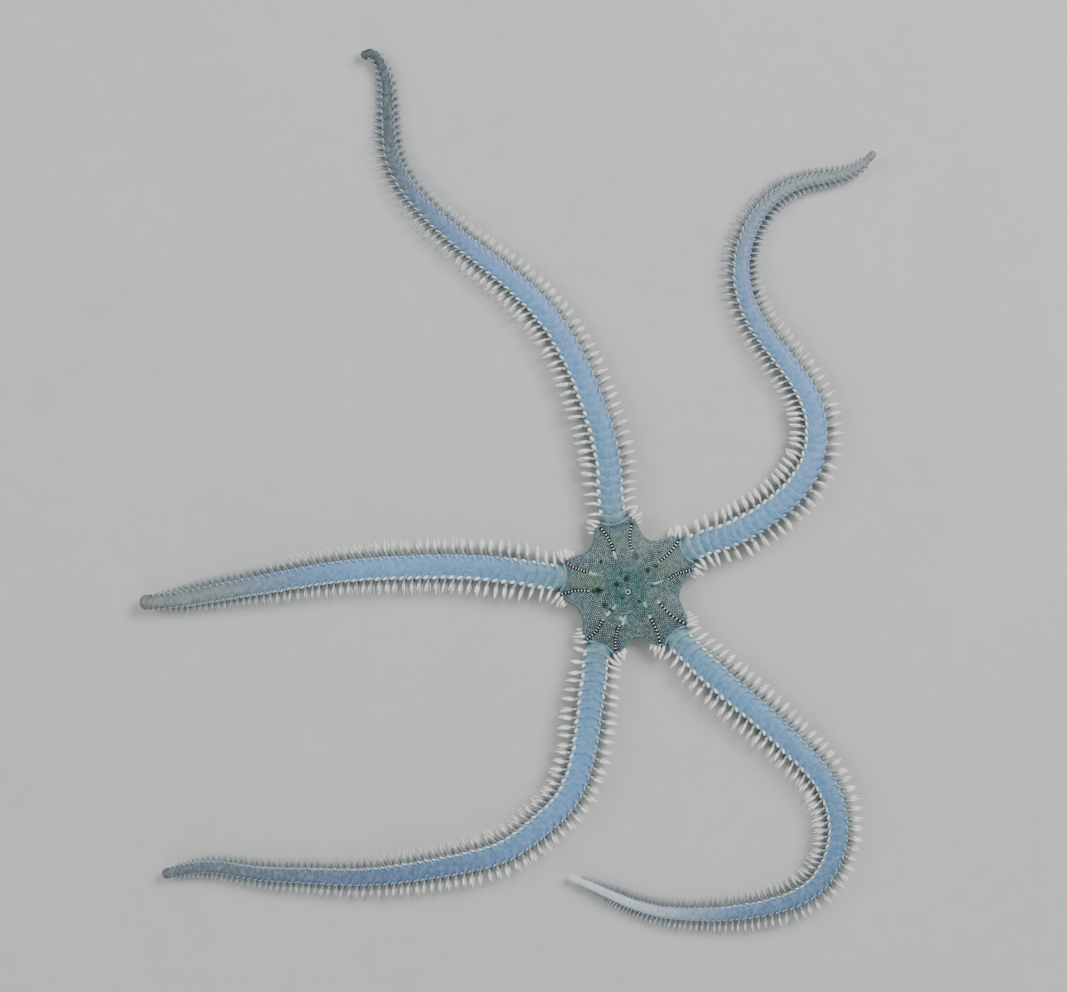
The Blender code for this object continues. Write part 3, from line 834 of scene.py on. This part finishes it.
def unwrap(arm, s, turn):
    """Where a point of an arm's skin lies on the unwrap: one strip for each arm."""
    return (0.02 + 0.96 * arm.share(s), (arm.number + 0.08 + 0.84 * (turn % TURN) / TURN) / 6, 0.0)


def outward_aim(ahead, side, lean, rise):
    """Away from a line on one side of it, leaning along it and rising by angles in degrees."""
    lean, rise = math.radians(lean), math.radians(rise)
    flat = left_of(ahead) * side * math.cos(lean) + ahead * math.sin(lean)
    return np.append(flat * math.cos(rise), math.sin(rise))


def fan_spots(arm, chance):
    """Spots for an arm's long spines, for the pointed ones near the disc and for its edge pegs."""
    facts = arm.facts
    stacked = facts["stacked"]
    spines, pointed, pegs = [], lobe_spots(arm, chance), []
    for near, far in zip(arm.starts, arm.starts[1:]):
        if near < FIRST_FAN:
            continue
        # the blades of a fan stand one above the other near the disc, and apart further out
        apart = blend(0.35, 1.0, smooth(0.2 * stacked, 0.88 * stacked, near))
        spread = facts["spread"] * apart
        for side in (1, -1):
            # white: this side's pegs are painted white as the lit ones
            white = side == facts["lit_side"]
            reach = facts["reach"][0 if side == 1 else 1]
            swing = chance.uniform(-6, 6)
            for rise, fan_lean, length_share, up, width, along in (*FAN, PEG):
                peg = rise == PEG[0]
                s = blend(near, far, along if peg else blend(0.73, along, apart))
                s += chance.uniform(-0.03, 0.03)
                if s > arm.length - BARE_END:
                    continue
                turn = up * TURN if side == 1 else math.pi - up * TURN
                sunk = arm.half(s) / (ARM_WIDTH / 2)
                root, _ = arm_surface(arm, np.array(s), np.array(turn), lift=-0.55 * sunk)
                lean = FAN_LEAN + swing + fan_lean * (1 if peg else spread) + chance.uniform(-2.5, 2.5)
                aim = outward_aim(arm.ahead(np.array(s)), side, lean, rise + chance.uniform(-4, 4))
                full = arm.spine_length(s)
                size = full / SPINE_LENGTH
                if peg:
                    length = 0.95 * size * length_share
                else:
                    length = full * length_share * blend(1, reach, min(1, s / 30 + 0.2))
                length = (length + 0.35 + 0.2 * sunk) * chance.uniform(0.95, 1.05)
                lowest = (root[2] - 0.15) / max(length, 0.1)
                if aim[2] < -lowest:
                    aim[2] = -max(lowest, 0)
                thick = width * blend(0.38, 1.0, size) * chance.uniform(0.92, 1.1)
                if peg:
                    broad = blend(1.65, 1, smooth(6, 50, s)) if white else blend(1.3, 0.8, smooth(2, 16, s))
                    thick *= broad
                    length *= min(broad, 1)
                else:
                    leaf = 1 - smooth(0.2 * stacked, stacked, s)
                    thick *= 1.1 - 0.12 * spread
                    thick *= blend(facts["slim"] if white else 1, 1.0, leaf) * blend(1.0, 1.34, leaf)
                spot = {
                    "place": root,
                    "aim": aim,
                    "size": (thick, thick * (0.9 if peg else 0.8), length),
                    "spin": chance.uniform(0, TURN),
                    "root": unwrap(arm, s, turn),
                    "tone": chance.random(),
                    "along": float(arm.share(s)),
                }
                if peg:
                    # pegs away from the lit side get a blue tint, painted shade
                    pegs.append(spot | {"blue": 0.0 if white else smooth(2, 16, s)})
                else:
                    (pointed if s < POINTED_UP_TO else spines).append(spot | {"dim": float(rise > STEEP)})
    return spines, pointed, pegs


# Rows of spines on a lobe's side: distance out on the lobe, height, rise and length
LOBE_ROWS = (
    (11.6, 2.4, 12, 1.6), (12.2, 2.6, 34, 1.8), (12.3, 1.2, 4, 2.1), (12.8, 2.9, 48, 2.0),
    (12.9, 1.8, 14, 2.7), (13.5, 3.1, 40, 2.2), (13.5, 2.0, 12, 3.0), (13.6, 1.1, 0, 2.8),
)
LOBE_SPINE_WIDTH = 0.42
LOBE_SPINE_LEAN = 26


def lobe_spots(arm, chance):
    """Spots for the spines on both sides of the disc's lobe at an arm's root."""
    out = unit(arm.facts["angle"])
    left = left_of(out)
    spots = []
    for side in (1, -1):
        mine = (EDGE @ out > 8) & (EDGE @ left * side > 1.0)
        order = np.argsort(EDGE[mine] @ out)
        along, aside = (EDGE[mine] @ out)[order], (EDGE[mine] @ left)[order]
        for far, height, rise, length in LOBE_ROWS:
            w = np.interp(far, along, aside) - side * 0.45
            lean = LOBE_SPINE_LEAN + chance.uniform(-8, 8)
            thick = LOBE_SPINE_WIDTH * chance.uniform(0.9, 1.1)
            spots.append({
                "place": (*(CENTRE + out * far + left * w), height),
                "aim": outward_aim(out, side, lean, rise),
                "size": (thick, thick * 0.8, (length + 0.3) * chance.uniform(0.92, 1.07)),
                "spin": chance.uniform(0, TURN),
                "root": (0.012, (arm.number + (0.25 if side == 1 else 0.75)) / 6, 0.0),
                "tone": chance.random(),
                "along": 0.0,
                "dim": float(rise > STEEP),
            })
    return spots


def build_spines(tree, finish, peg_finish):
    shapes = (
        ("spines", unit_shape("spine shape", SPINE_PROFILE, 8, ridge=0.16), finish),
        ("lobe_spines", unit_shape("pointed shape", POINTED_PROFILE, 8, ridge=0.16), finish),
        ("edge_pegs", unit_shape("peg shape", PEG_PROFILE, 8), peg_finish),
    )
    chance = np.random.default_rng(11)
    made = []
    for arm in STAR:
        for (name, shape, look), spots in zip(shapes, fan_spots(arm, chance)):
            piece = set_shapes(f"{name}_{arm.number + 1}", tree, shape, look, spots)
            made.append((piece, "arm_plates"))
    return made


# Granules and beads of the disc
GRANULE_PITCH = 0.39
# a granule's radius as a share of the pitch, and the rows of them on the rounded edge
GRANULE_SHARE = 0.385
SIDE_ROWS = 9
SIDE_TURNS = (0.20, 2.25)
# a lobe's end is bare past this distance out, and this far to each side
LOBE_END = (13.2, 2.9)
# how far out the spiral of granules runs, in mm
SPIRAL_REACH = 15
# the ground that one granule takes, as a share of its pitch squared, and the shade of the edge's
CLOSE_PACKED = 0.866
EDGE_SHADE = 1.6
GRANULE_PROFILE = ((-0.6, 1.0), (0.25, 0.92), (0.75, 0.6), (1.0, 0.0))
BEAD_PROFILE = ((-0.7, 0.7), (0.0, 1.0), (0.5, 0.86), (0.86, 0.5), (1.0, 0.0))


def top_point(points):
    """Places and upward directions on the disc's upper side for points in mm from its centre."""
    def height(at):
        share, lobe = edge_at(at)
        return disc_top(at, share, lobe)

    step = 0.1
    z = height(points)
    slope_x = (height(points + (step, 0)) - height(points - (step, 0))) / (2 * step)
    slope_y = (height(points + (0, step)) - height(points - (0, step))) / (2 * step)
    normal = np.stack([-slope_x, -slope_y, np.ones(len(points))], axis=1)
    return raised(points + CENTRE, z), normalised(normal)


def disc_unwrap(points):
    return np.stack([0.5 + points[:, 0] / 32, 5.5 / 6 + points[:, 1] / 200, np.zeros(len(points))], axis=1)


def closed_ring(turn):
    """The points of a ring round the disc's edge, the first one again at its end."""
    line = raised(*rim_ring(turn))
    return np.concatenate([line, line[:1]])


def side_granules(row, turn):
    """Places from the disc's centre and outward directions of one row of granules round its edge."""
    above, line, below = (closed_ring(turn + step) for step in (-0.1, 0.0, 0.1))
    rise = above - below
    way = way_along(line)
    count = int(way[-1] / GRANULE_PITCH)
    at = (np.arange(count) + 0.5 * (row % 2)) / count * way[-1]
    place = np.stack([np.interp(at, way, line[:, k]) for k in range(3)], axis=1)
    rise = np.stack([np.interp(at, way, rise[:, k]) for k in range(3)], axis=1)
    ahead = np.roll(place, -1, axis=0) - np.roll(place, 1, axis=0)
    normal = normalised(np.cross(ahead, rise))
    along, aside, _ = off_arms(place[:, :2])
    kept = (along < LOBE_END[0]) | (np.abs(aside) > LOBE_END[1])
    return place[kept], normal[kept]


def granule_spots(chance):
    """Spots for the granules, which lie on a sunflower's spiral, so that they are evenly close."""
    count = int((SPIRAL_REACH / GRANULE_PITCH) ** 2 * math.pi / CLOSE_PACKED)
    i = np.arange(count)
    radius = GRANULE_PITCH * np.sqrt(CLOSE_PACKED / math.pi * (i + 0.5))
    turn = i * math.pi * (3 - math.sqrt(5))
    points = np.stack([radius * np.cos(turn), radius * np.sin(turn)], axis=1)
    points = points + chance.uniform(-0.02, 0.02, points.shape)
    share, lobe = edge_at(points)
    kept = share < blend(0.955, 0.94, lobe)
    for number, outer, inner in BEAD_ROWS:
        kept &= off_row(points, number, outer, inner, step=2) >= 0.42
    kept &= off_pore(points) > PORE_RADIUS + 0.15
    points = points[kept]
    place, normal = top_point(points)
    sides = [side_granules(row, turn) for row, turn in enumerate(np.linspace(*SIDE_TURNS, SIDE_ROWS))]
    unfolded = [flat[:, :2] * (1 + 0.012 * row) for row, (flat, _) in enumerate(sides)]
    roots = disc_unwrap(np.concatenate([points, *unfolded]))
    top = len(points)
    points = np.concatenate([points, *(flat[:, :2] for flat, _ in sides)])
    place = np.concatenate([place, *(flat + (*CENTRE, 0) for flat, _ in sides)])
    normal = np.concatenate([normal, *(way for _, way in sides)])
    masks = disc_masks(points)
    masks["shade"][top:] = EDGE_SHADE
    count = len(points)
    smaller = 1 - 0.12 * masks["wedge"] - 0.12 * masks["middle"]
    wide = GRANULE_PITCH * GRANULE_SHARE * smaller * chance.uniform(0.92, 1.06, count)
    return {
        "place": place - normal * 0.03,
        "aim": normal,
        "size": np.stack([wide, wide, wide * 0.8], axis=1),
        "spin": 0.7 * np.arange(count),
        "root": roots,
        "tone": chance.random(count),
        "disc_tone": chance.random(count),
        "rim": rim_mask(points),
        **masks,
    }


def row_points(number, outer, inner):
    """The beads of one row, outermost first, on a line that bows a little."""
    out = unit(ARMS[number]["angle"])
    t = np.linspace(0, 1, BEADS_IN_ROW)[:, None]
    local = blend(np.array(outer), np.array(inner), t)
    bow = 0.35 * np.sin(t[:, 0] * math.pi) * -np.sign(outer[1])
    return local[:, :1] * out + (local[:, 1] + bow)[:, None] * left_of(out)


def bead_spots():
    """Spots for the beads of all rows, black and white by turns."""
    points = np.concatenate([row_points(*row) for row in BEAD_ROWS])
    place, normal = top_point(points)
    step = np.tile(np.arange(BEADS_IN_ROW), len(BEAD_ROWS))
    size = BEAD_RADIUS * (1.0 - 0.12 * step / BEADS_IN_ROW) * np.where(step % 2, WHITE_BEAD, BLACK_BEAD)
    return {
        "place": place + normal * 0.03,
        "aim": normal,
        "size": np.repeat(size[:, None], 3, axis=1),
        "spin": np.zeros(len(points)),
        "root": disc_unwrap(points),
        "black": 1.0 - step % 2,
    }


# The ring round the small opening: steps round it, sides and thickness
PORE_STEPS = 28
PORE_SIDES = 10
PORE_THICK = 0.08


def build_pore_ring(finish):
    """The raised pale ring round the small opening near the disc's middle."""
    place, _ = top_point(np.array([PORE]))
    points, faces = [], []
    for i in range(PORE_STEPS):
        a = TURN * i / PORE_STEPS
        wobble = 1 + 0.05 * math.sin(3 * a + 1)
        here, after = i * PORE_SIDES, (i + 1) % PORE_STEPS * PORE_SIDES
        for j in range(PORE_SIDES):
            b = TURN * j / PORE_SIDES
            r = PORE_RADIUS * wobble + PORE_THICK * math.cos(b)
            up = PORE_THICK * math.sin(b) + 0.03
            points.append(place[0] + (r * math.cos(a), r * math.sin(a), up))
            k = (j + 1) % PORE_SIDES
            faces.append((here + j, after + j, after + k, here + k))
    return outward(mesh_object("pore_ring", points, faces, finish))


# The underside: jaws, their teeth, and the shield plates, with levels as (inset, height)
JAW_RADII = (JAW_POINT, 2.4, MOUTH_RADIUS - 0.3)
JAW_LEVELS = (
    (1.2, 0.02), (0.5, 0.0), (0.22, 0.05), (0.07, 0.16),
    (0.0, 0.36), (0.0, 1.0), (0.05, 1.55), (0.5, 1.58),
)
# the teeth at a jaw's point by height, and the papillae along its sides by distance out
TOOTH_HEIGHTS = (0.45, 0.85, 1.25)
PAPILLA_PLACES = (1.9, 2.45, 3.0, 3.55, 4.1)
# half of a shield's outline, as distance out and width to one side
SHIELD_HALF = ((5.75, 0.8), (7.0, 1.35), (8.4, 0.5))
SHIELD_LEVELS = (
    (1.0, 0.02), (0.5, 0.03), (0.2, 0.08), (0.04, 0.18), (0.0, 0.32), (0.0, 0.9), (0.4, 0.95)
)


def gap_directions():
    """For each gap between two arms, in the order of the jaws: its direction and half its angle."""
    angles = sorted(facts["angle"] for facts in ARMS)
    found = []
    for i, angle in enumerate(angles):
        gap = (angles[(i + 1) % 5] - angle) % 360
        found.append((unit(angle + gap / 2), math.radians(gap) / 2))
    return found


def rounded_plate(outline_points, levels):
    """Rings of an outline that are drawn in by each level's inset, at its height, as points in mm."""
    heart = outline_points.mean(axis=0)
    rings = []
    for inset, height in levels:
        away = outline_points - heart
        ring = heart + away * np.maximum(1 - inset / length_of(away), 0.4)[:, None]
        rings.append(raised(ring, height))
    return np.concatenate(rings)


def fine_outline(corners, per_side):
    """Points along a closed outline through the corners, its corners slightly rounded."""
    steps = np.linspace(0.06, 0.94, per_side)
    return np.array([blend(a, b, t) for a, b in zip(corners, [*corners[1:], corners[0]]) for t in steps])


def build_jaw(number, out, half_gap, finish):
    """A wedge with a crowned lower face."""
    left = left_of(out)
    corners = []
    for radius in JAW_RADII:
        turn = half_gap - math.asin(SLIT_WIDTH / 2 / radius)
        corners.append(out * radius * math.cos(turn) + left * radius * math.sin(turn))
    right = [p - left * 2 * (p @ left) for p in corners]
    ring = fine_outline(np.array([*corners, out * JAW_RADII[-1], *right[::-1]]), 6)
    points = rounded_plate(CENTRE + ring, JAW_LEVELS)
    return outward(mesh_object(f"jaw_plate_{number}", points, grid_faces(len(JAW_LEVELS), len(ring)), finish))


def tooth_spots():
    spots = []
    for number, (out, half_gap) in enumerate(gap_directions()):
        left = left_of(out)
        rows = [(out * JAW_POINT, -out, 0.30, height) for height in TOOTH_HEIGHTS]
        for side in (1, -1):
            run = out * math.cos(half_gap) + left * side * math.sin(half_gap)
            across = left * side * math.cos(half_gap) - out * math.sin(half_gap)
            for place in PAPILLA_PLACES:
                rows.append((run * place - across * SLIT_WIDTH / 2, across, 0.24, 0.45))
        for i, (at, aim, size, height) in enumerate(rows):
            spots.append({
                "place": np.append(CENTRE + at, height) - np.append(aim, 0) * 0.16,
                "aim": np.append(aim, -0.12),
                "size": (size, size * 0.8, 0.48),
                "spin": 0.4 * i,
                "root": (0.1 + 0.16 * number, 0.9 + 0.006 * i, 0),
            })
    return spots


def build_shields(finish):
    """Five low crowned plates outside the jaws, as one piece."""
    points, faces = [], []
    for out, _ in gap_directions():
        left = left_of(out)
        ring = [out * x + left * y for x, y in SHIELD_HALF]
        ring += [out * x - left * y for x, y in SHIELD_HALF[::-1]]
        ring = fine_outline(np.array(ring), 5)
        base = len(points)
        points.extend(rounded_plate(CENTRE + ring, SHIELD_LEVELS).tolist())
        plate = grid_faces(len(SHIELD_LEVELS), len(ring))
        faces += [tuple(base + k for k in face) for face in plate]
    return outward(mesh_object("mouth_shields", points, faces, finish))


# Materials
def srgb(*colour):
    """A colour given as 0 to 255 on a screen, as the linear values a shader takes."""
    linear = [((v / 255 + 0.055) / 1.055) ** 2.4 if v > 10 else v / 255 / 12.92 for v in colour]
    return (*linear, 1.0)


def mottle_group():
    """Fine and broad unevenness in one group: a mask round one half, and a height for bumps."""
    group = bpy.data.node_groups.new("fine mottle", "ShaderNodeTree")
    for way, names in (("INPUT", ("Broad", "Fine")), ("OUTPUT", ("Mask", "Height"))):
        for name in names:
            group.interface.new_socket(name, in_out=way, socket_type="NodeSocketFloat")
    nodes = named_nodes(group, {
        "come": "NodeGroupInput",
        "leave": "NodeGroupOutput",
        "where": "ShaderNodeTexCoord",
        "Broad": "ShaderNodeTexNoise",
        "Fine": "ShaderNodeTexNoise",
        "half": "ShaderNodeMath",
        "mean": "ShaderNodeMath",
    })
    for name in ("Broad", "Fine"):
        nodes[name].inputs["Detail"].default_value = 4
        wire(group, nodes, ("where", "Object", name, "Vector"), ("come", name, name, "Scale"))
    for name, operation in (("half", "MULTIPLY"), ("mean", "MULTIPLY_ADD")):
        nodes[name].operation = operation
        nodes[name].inputs[1].default_value = 0.5
    wire(
        group,
        nodes,
        ("Broad", "Fac", "half", 0),
        ("Fine", "Fac", "mean", 0),
        ("half", 0, "mean", 2),
        ("mean", 0, "leave", "Mask"),
        ("Fine", "Fac", "leave", "Height"),
    )
    return group


class Finish:
    """A Principled material that is put together a layer of colour at a time."""

    def __init__(self, name, roughness, **fixed):
        self.material = bpy.data.materials.new(name)
        self.material.use_nodes = True
        self.nodes = self.material.node_tree.nodes
        self.links = self.material.node_tree.links
        self.shader = self.nodes["Principled BSDF"]
        self.shader.inputs["Roughness"].default_value = roughness
        for key, value in fixed.items():
            self.shader.inputs[key.replace("_", " ")].default_value = value
        self.colour = None

    def attribute(self, name):
        read = self.nodes.new("ShaderNodeAttribute")
        read.attribute_name = name
        return read.outputs["Fac"]

    def mottle(self, broad, fine):
        made = self.nodes.new("ShaderNodeGroup")
        made.node_tree = MOTTLE
        made.inputs["Broad"].default_value = broad
        made.inputs["Fine"].default_value = fine
        return made.outputs

    def range(self, value, low, high, to_low=0.0, to_high=1.0):
        mapped = self.nodes.new("ShaderNodeMapRange")
        for name, end in (("From Min", low), ("From Max", high), ("To Min", to_low), ("To Max", to_high)):
            mapped.inputs[name].default_value = end
        self.links.new(value, mapped.inputs["Value"])
        return mapped.outputs["Result"]

    def mask(self, given):
        """A mask from an attribute's name, an output, or (one of these, and the ends of its range)."""
        if isinstance(given, tuple):
            return self.range(self.mask(given[0]), *given[1:])
        return self.attribute(given) if isinstance(given, str) else given

    def times(self, a, b):
        product = self.nodes.new("ShaderNodeMath")
        product.operation = "MULTIPLY"
        self.links.new(self.mask(a), product.inputs[0])
        if isinstance(b, float):
            product.inputs[1].default_value = b
        else:
            self.links.new(self.mask(b), product.inputs[1])
        return product.outputs[0]

    def ramp(self, value, *stops):
        ramp = self.nodes.new("ShaderNodeValToRGB")
        elements = ramp.color_ramp.elements
        for position, colour in stops[1:-1]:
            elements.new(position).color = colour
        ordered = sorted(elements, key=lambda element: element.position)
        for element, (position, colour) in zip(ordered, stops):
            element.position = position
            element.color = colour
        self.links.new(self.mask(value), ramp.inputs["Fac"])
        self.colour = ramp.outputs["Color"]

    def layer(self, mask, colour, amount=1.0):
        """A colour over the ones before it, as much of it as a mask says."""
        mixed = self.nodes.new("ShaderNodeMix")
        mixed.data_type = "RGBA"
        self.links.new(self.times(mask, float(amount)), mixed.inputs["Factor"])
        self.links.new(self.colour, mixed.inputs["A"])
        mixed.inputs["B"].default_value = colour
        self.colour = mixed.outputs["Result"]

    def bump(self, height, distance, strength=0.6):
        bump = self.nodes.new("ShaderNodeBump")
        bump.inputs["Distance"].default_value = distance
        bump.inputs["Strength"].default_value = strength
        self.links.new(height, bump.inputs["Height"])
        if self.shader.inputs["Normal"].is_linked:
            self.links.new(self.shader.inputs["Normal"].links[0].from_socket, bump.inputs["Normal"])
        self.links.new(bump.outputs["Normal"], self.shader.inputs["Normal"])

    def roughness(self, value, low, high):
        self.links.new(self.range(value, 0.25, 0.75, low, high), self.shader.inputs["Roughness"])

    def done(self):
        self.links.new(self.colour, self.shader.inputs["Base Color"])
        return self.material


MOTTLE = mottle_group()

TEAL = srgb(50, 148, 132)
OLIVE = srgb(148, 192, 158)
GREY = srgb(90, 116, 118)
EDGE_BLUE = srgb(104, 144, 164)


def region_colours(finish):
    """The layers of broad colour that the disc's skin and its granules share."""
    finish.layer("middle", TEAL, 0.9)
    finish.layer("wedge", OLIVE, 0.85)
    finish.layer("rim", EDGE_BLUE, 0.80)
    finish.layer("shade", srgb(30, 54, 54), 0.26)


def mark_colours(finish):
    """The pale streaks and dark spots, on the skin and on its granules."""
    uneven = finish.mottle(1300, 3400)["Mask"]
    finish.layer(finish.times("pale", (uneven, 0.37, 0.50)), srgb(200, 244, 234))
    finish.layer(finish.times("dark", (uneven, 0.58, 0.47, 0.40, 1.0)), srgb(4, 16, 18))


def skin_finish():
    finish = Finish("skin", 0.5)
    mask = finish.mottle(1000, 3600)
    finish.ramp(
        "along",
        (0.0, srgb(92, 130, 142)),
        (0.035, srgb(90, 134, 166)),
        (0.15, srgb(92, 142, 182)),
        (0.42, srgb(100, 150, 192)),
        (0.66, srgb(90, 124, 160)),
        (0.9, srgb(96, 112, 132)),
        (1.0, srgb(92, 102, 116)),
    )
    finish.layer("warm", srgb(116, 126, 112), 0.85)
    finish.layer("lilac", srgb(120, 130, 204), 0.34)
    finish.layer("dusk", srgb(24, 32, 38), 0.88)
    # painted highlight along the arm's crest near its end
    finish.layer("back", srgb(190, 200, 186), 0.18)
    # painted highlight: the arm's end made pale
    finish.layer("pale_end", srgb(222, 232, 230), 0.85)
    # painted shade on the arm's lower side
    finish.layer("flank", srgb(46, 66, 76), 0.7)
    finish.layer("corner", srgb(214, 232, 244), 0.90)
    finish.layer("disc", GREY, 1.0)
    region_colours(finish)
    # the disc's skin made near-black under its granules: painted shade in the gaps between them
    finish.layer("disc", srgb(4, 12, 14), 0.92)
    # painted shade on the disc's rounded edge
    finish.layer("shore", srgb(36, 54, 58), 0.75)
    finish.layer((mask["Mask"], 0.48, 0.64), srgb(176, 204, 220), 0.24)
    finish.layer((mask["Mask"], 0.50, 0.36), srgb(52, 84, 104), 0.26)
    mark_colours(finish)
    finish.layer("lip", srgb(176, 206, 226), 0.40)
    finish.layer(finish.times("seam", (mask["Mask"], 0.62, 0.40)), srgb(40, 76, 104), 0.75)
    finish.layer("row", srgb(14, 22, 26), 0.95)
    finish.layer("under", srgb(176, 182, 170), 0.75)
    finish.layer("pit", srgb(46, 52, 50), 0.9)
    finish.bump(mask["Height"], 0.00012, 0.5)
    finish.roughness(mask["Mask"], 0.38, 0.6)
    return finish.done()


def granule_finish():
    finish = Finish("granules", 0.55, Specular_IOR_Level=0.25)
    mask = finish.mottle(700, 4200)
    finish.ramp("disc_tone", (0.0, srgb(120, 154, 153)), (1.0, srgb(162, 192, 189)))
    region_colours(finish)
    finish.layer(("tone", 0.45, 1.0), srgb(222, 238, 232), 0.34)
    finish.layer(("tone", 0.5, 0.0), srgb(16, 30, 32), 0.28)
    finish.layer((mask["Mask"], 0.50, 0.30), srgb(52, 70, 76), 0.4)
    mark_colours(finish)
    finish.bump(mask["Height"], 0.00005, 0.4)
    return finish.done()


def spine_finish():
    finish = Finish("spines", 0.32)
    mask = finish.mottle(900, 5200)
    # dark towards the root: partly the spine's own translucent grey core, partly painted shade
    finish.ramp(
        "up",
        (0.0, srgb(60, 72, 78)),
        (0.22, srgb(96, 108, 110)),
        (0.42, srgb(176, 186, 180)),
        (0.58, srgb(250, 253, 246)),
        (1.0, srgb(254, 255, 251)),
    )
    # painted shade on the steep spines
    finish.layer("dim", srgb(84, 104, 124), 0.60)
    finish.layer(("tone", 0.5, 1.0), srgb(150, 160, 158), 0.35)
    finish.layer((mask["Mask"], 0.50, 0.34), srgb(112, 124, 118), 0.45)
    white_root = finish.times(("along", 0.07, 0.02), ("up", 0.08, 0.40))
    finish.layer(white_root, srgb(252, 254, 248), 0.85)
    finish.layer(("along", 0.40, 0.90), srgb(120, 134, 144), 0.85)
    finish.bump(mask["Height"], 0.00006, 0.4)
    return finish.done()


def peg_finish():
    finish = Finish("edge pegs", 0.3)
    mask = finish.mottle(900, 4200)
    finish.ramp(
        "up",
        (0.0, srgb(150, 176, 194)),
        (0.45, srgb(236, 244, 244)),
        (1.0, srgb(252, 254, 250)),
    )
    # painted shade: blue tint on the pegs of the side away from the light
    finish.layer("blue", srgb(140, 176, 208), 0.75)
    finish.layer((mask["Mask"], 0.5, 0.32), srgb(130, 142, 140), 0.4)
    finish.layer(("along", 0.4, 0.9), srgb(124, 142, 156), 0.85)
    return finish.done()


def bead_finish():
    finish = Finish("beads", 0.5, Specular_IOR_Level=0.2)
    mask = finish.mottle(1500, 6000)
    finish.ramp("black", (0.0, srgb(250, 255, 253)), (1.0, srgb(4, 8, 10)))
    finish.layer((mask["Mask"], 0.55, 0.75), srgb(120, 140, 140), 0.2)
    return finish.done()


def hard_finish(name, light, dark):
    finish = Finish(name, 0.42)
    mask = finish.mottle(600, 3600)
    finish.ramp(mask["Mask"], (0.3, dark), (0.62, light))
    finish.bump(mask["Height"], 0.00008, 0.5)
    finish.roughness(mask["Mask"], 0.34, 0.55)
    return finish.done()


def floor_finish():
    finish = Finish("pale floor", 0.75)
    mask = finish.mottle(30, 260)
    finish.ramp(mask["Mask"], (0.3, (0.50, 0.50, 0.495, 1)), (0.7, (0.55, 0.55, 0.545, 1)))
    return finish.done()


# Everything in its place
def build_model():
    tree = setting_tree()
    skin = build_skin(skin_finish())
    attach(skin, "root")
    arm_nodes = [name for name in frame["nodes"] if name.startswith("arm_")]
    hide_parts("disc", *arm_nodes)
    pieces = build_spines(tree, spine_finish(), peg_finish())
    granule = unit_shape("granule shape", GRANULE_PROFILE, 5)
    bead = unit_shape("bead shape", BEAD_PROFILE, 10)
    tooth = unit_shape("tooth shape", PEG_PROFILE, 8)
    chance = np.random.default_rng(4)
    granules = set_shapes("granules", tree, granule, granule_finish(), granule_spots(chance))
    beads = set_shapes("bead_rows", tree, bead, bead_finish(), bead_spots())
    cream = hard_finish("jaw plates", srgb(206, 206, 190), srgb(150, 150, 132))
    ring = build_pore_ring(hard_finish("pore ring", srgb(226, 240, 236), srgb(170, 196, 192)))
    teeth = set_shapes("jaw_teeth", tree, tooth, cream, tooth_spots())
    shields = build_shields(hard_finish("mouth shields", srgb(190, 194, 178), srgb(132, 140, 126)))
    pieces += [(granules, "disc_skin"), (beads, "disc_skin"), (ring, "disc_skin")]
    pieces += [(teeth, "jaw_plates"), (shields, "disc_skin")]
    for piece, slot in pieces:
        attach(piece, "root")
    for i, (out, half_gap) in enumerate(gap_directions()):
        jaw = build_jaw(i + 1, out, half_gap, cream)
        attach(jaw, "root")
        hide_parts(f"jaw_{i + 1}")


# Half the floor's side in mm, the room's light, and lamps with place in metres, size and power
FLOOR_HALF = 1500
ROOM_COLOUR = (0.95, 0.97, 1.0, 1)
ROOM_STRENGTH = 0.34
LAMPS = (
    ("key", (0.40, 0.30, 0.50), 0.35, 4.8),
    ("fill", (-0.50, 0.15, 0.40), 0.40, 2.2),
    ("low", (0.0, -0.50, 0.30), 0.40, 0.8),
)


def build_stage():
    corners = [(x * FLOOR_HALF, y * FLOOR_HALF, 0) for x, y in ((-1, -1), (1, -1), (1, 1), (-1, 1))]
    mesh_object("floor", corners, [(0, 1, 2, 3)], floor_finish())
    world = bpy.data.worlds.new("soft room")
    world.use_nodes = True
    world.node_tree.nodes["Background"].inputs["Color"].default_value = ROOM_COLOUR
    world.node_tree.nodes["Background"].inputs["Strength"].default_value = ROOM_STRENGTH
    bpy.context.scene.world = world
    for name, place, size, power in LAMPS:
        light = bpy.data.lights.new(name, "AREA")
        light.size = size
        light.energy = power
        lamp = in_scene(name, light)
        lamp.location = place
        lamp.rotation_euler = look_along(-np.array(place))


def look_along(direction):
    """The turn that points an object's -Z along a direction, with its +Y towards +Y or +Z."""
    return Vector(direction).to_track_quat("-Z", "Y").to_euler()


# The photograph's frame in mm: its width, at a level above the floor, and how far its middle is from
# the disc's centre
FRAME_WIDTH = 213.4
FRAME_MIDDLE = (-19.1, 18.0)
FRAME_LEVEL = 3.0
LENS = 100.0
SENSOR = 36.0


def build_camera():
    camera = bpy.data.cameras.new("camera")
    camera.lens = LENS
    camera.sensor_width = SENSOR
    camera.sensor_fit = "HORIZONTAL"
    camera.clip_start = 0.01
    camera.clip_end = 20
    obj = in_scene("camera", camera)
    middle = CENTRE + np.array(FRAME_MIDDLE)
    height = FRAME_WIDTH * LENS / SENSOR + FRAME_LEVEL
    obj.location = (middle[0] * MM, middle[1] * MM, height * MM)
    bpy.context.scene.camera = obj


build_model()
build_stage()
build_camera()
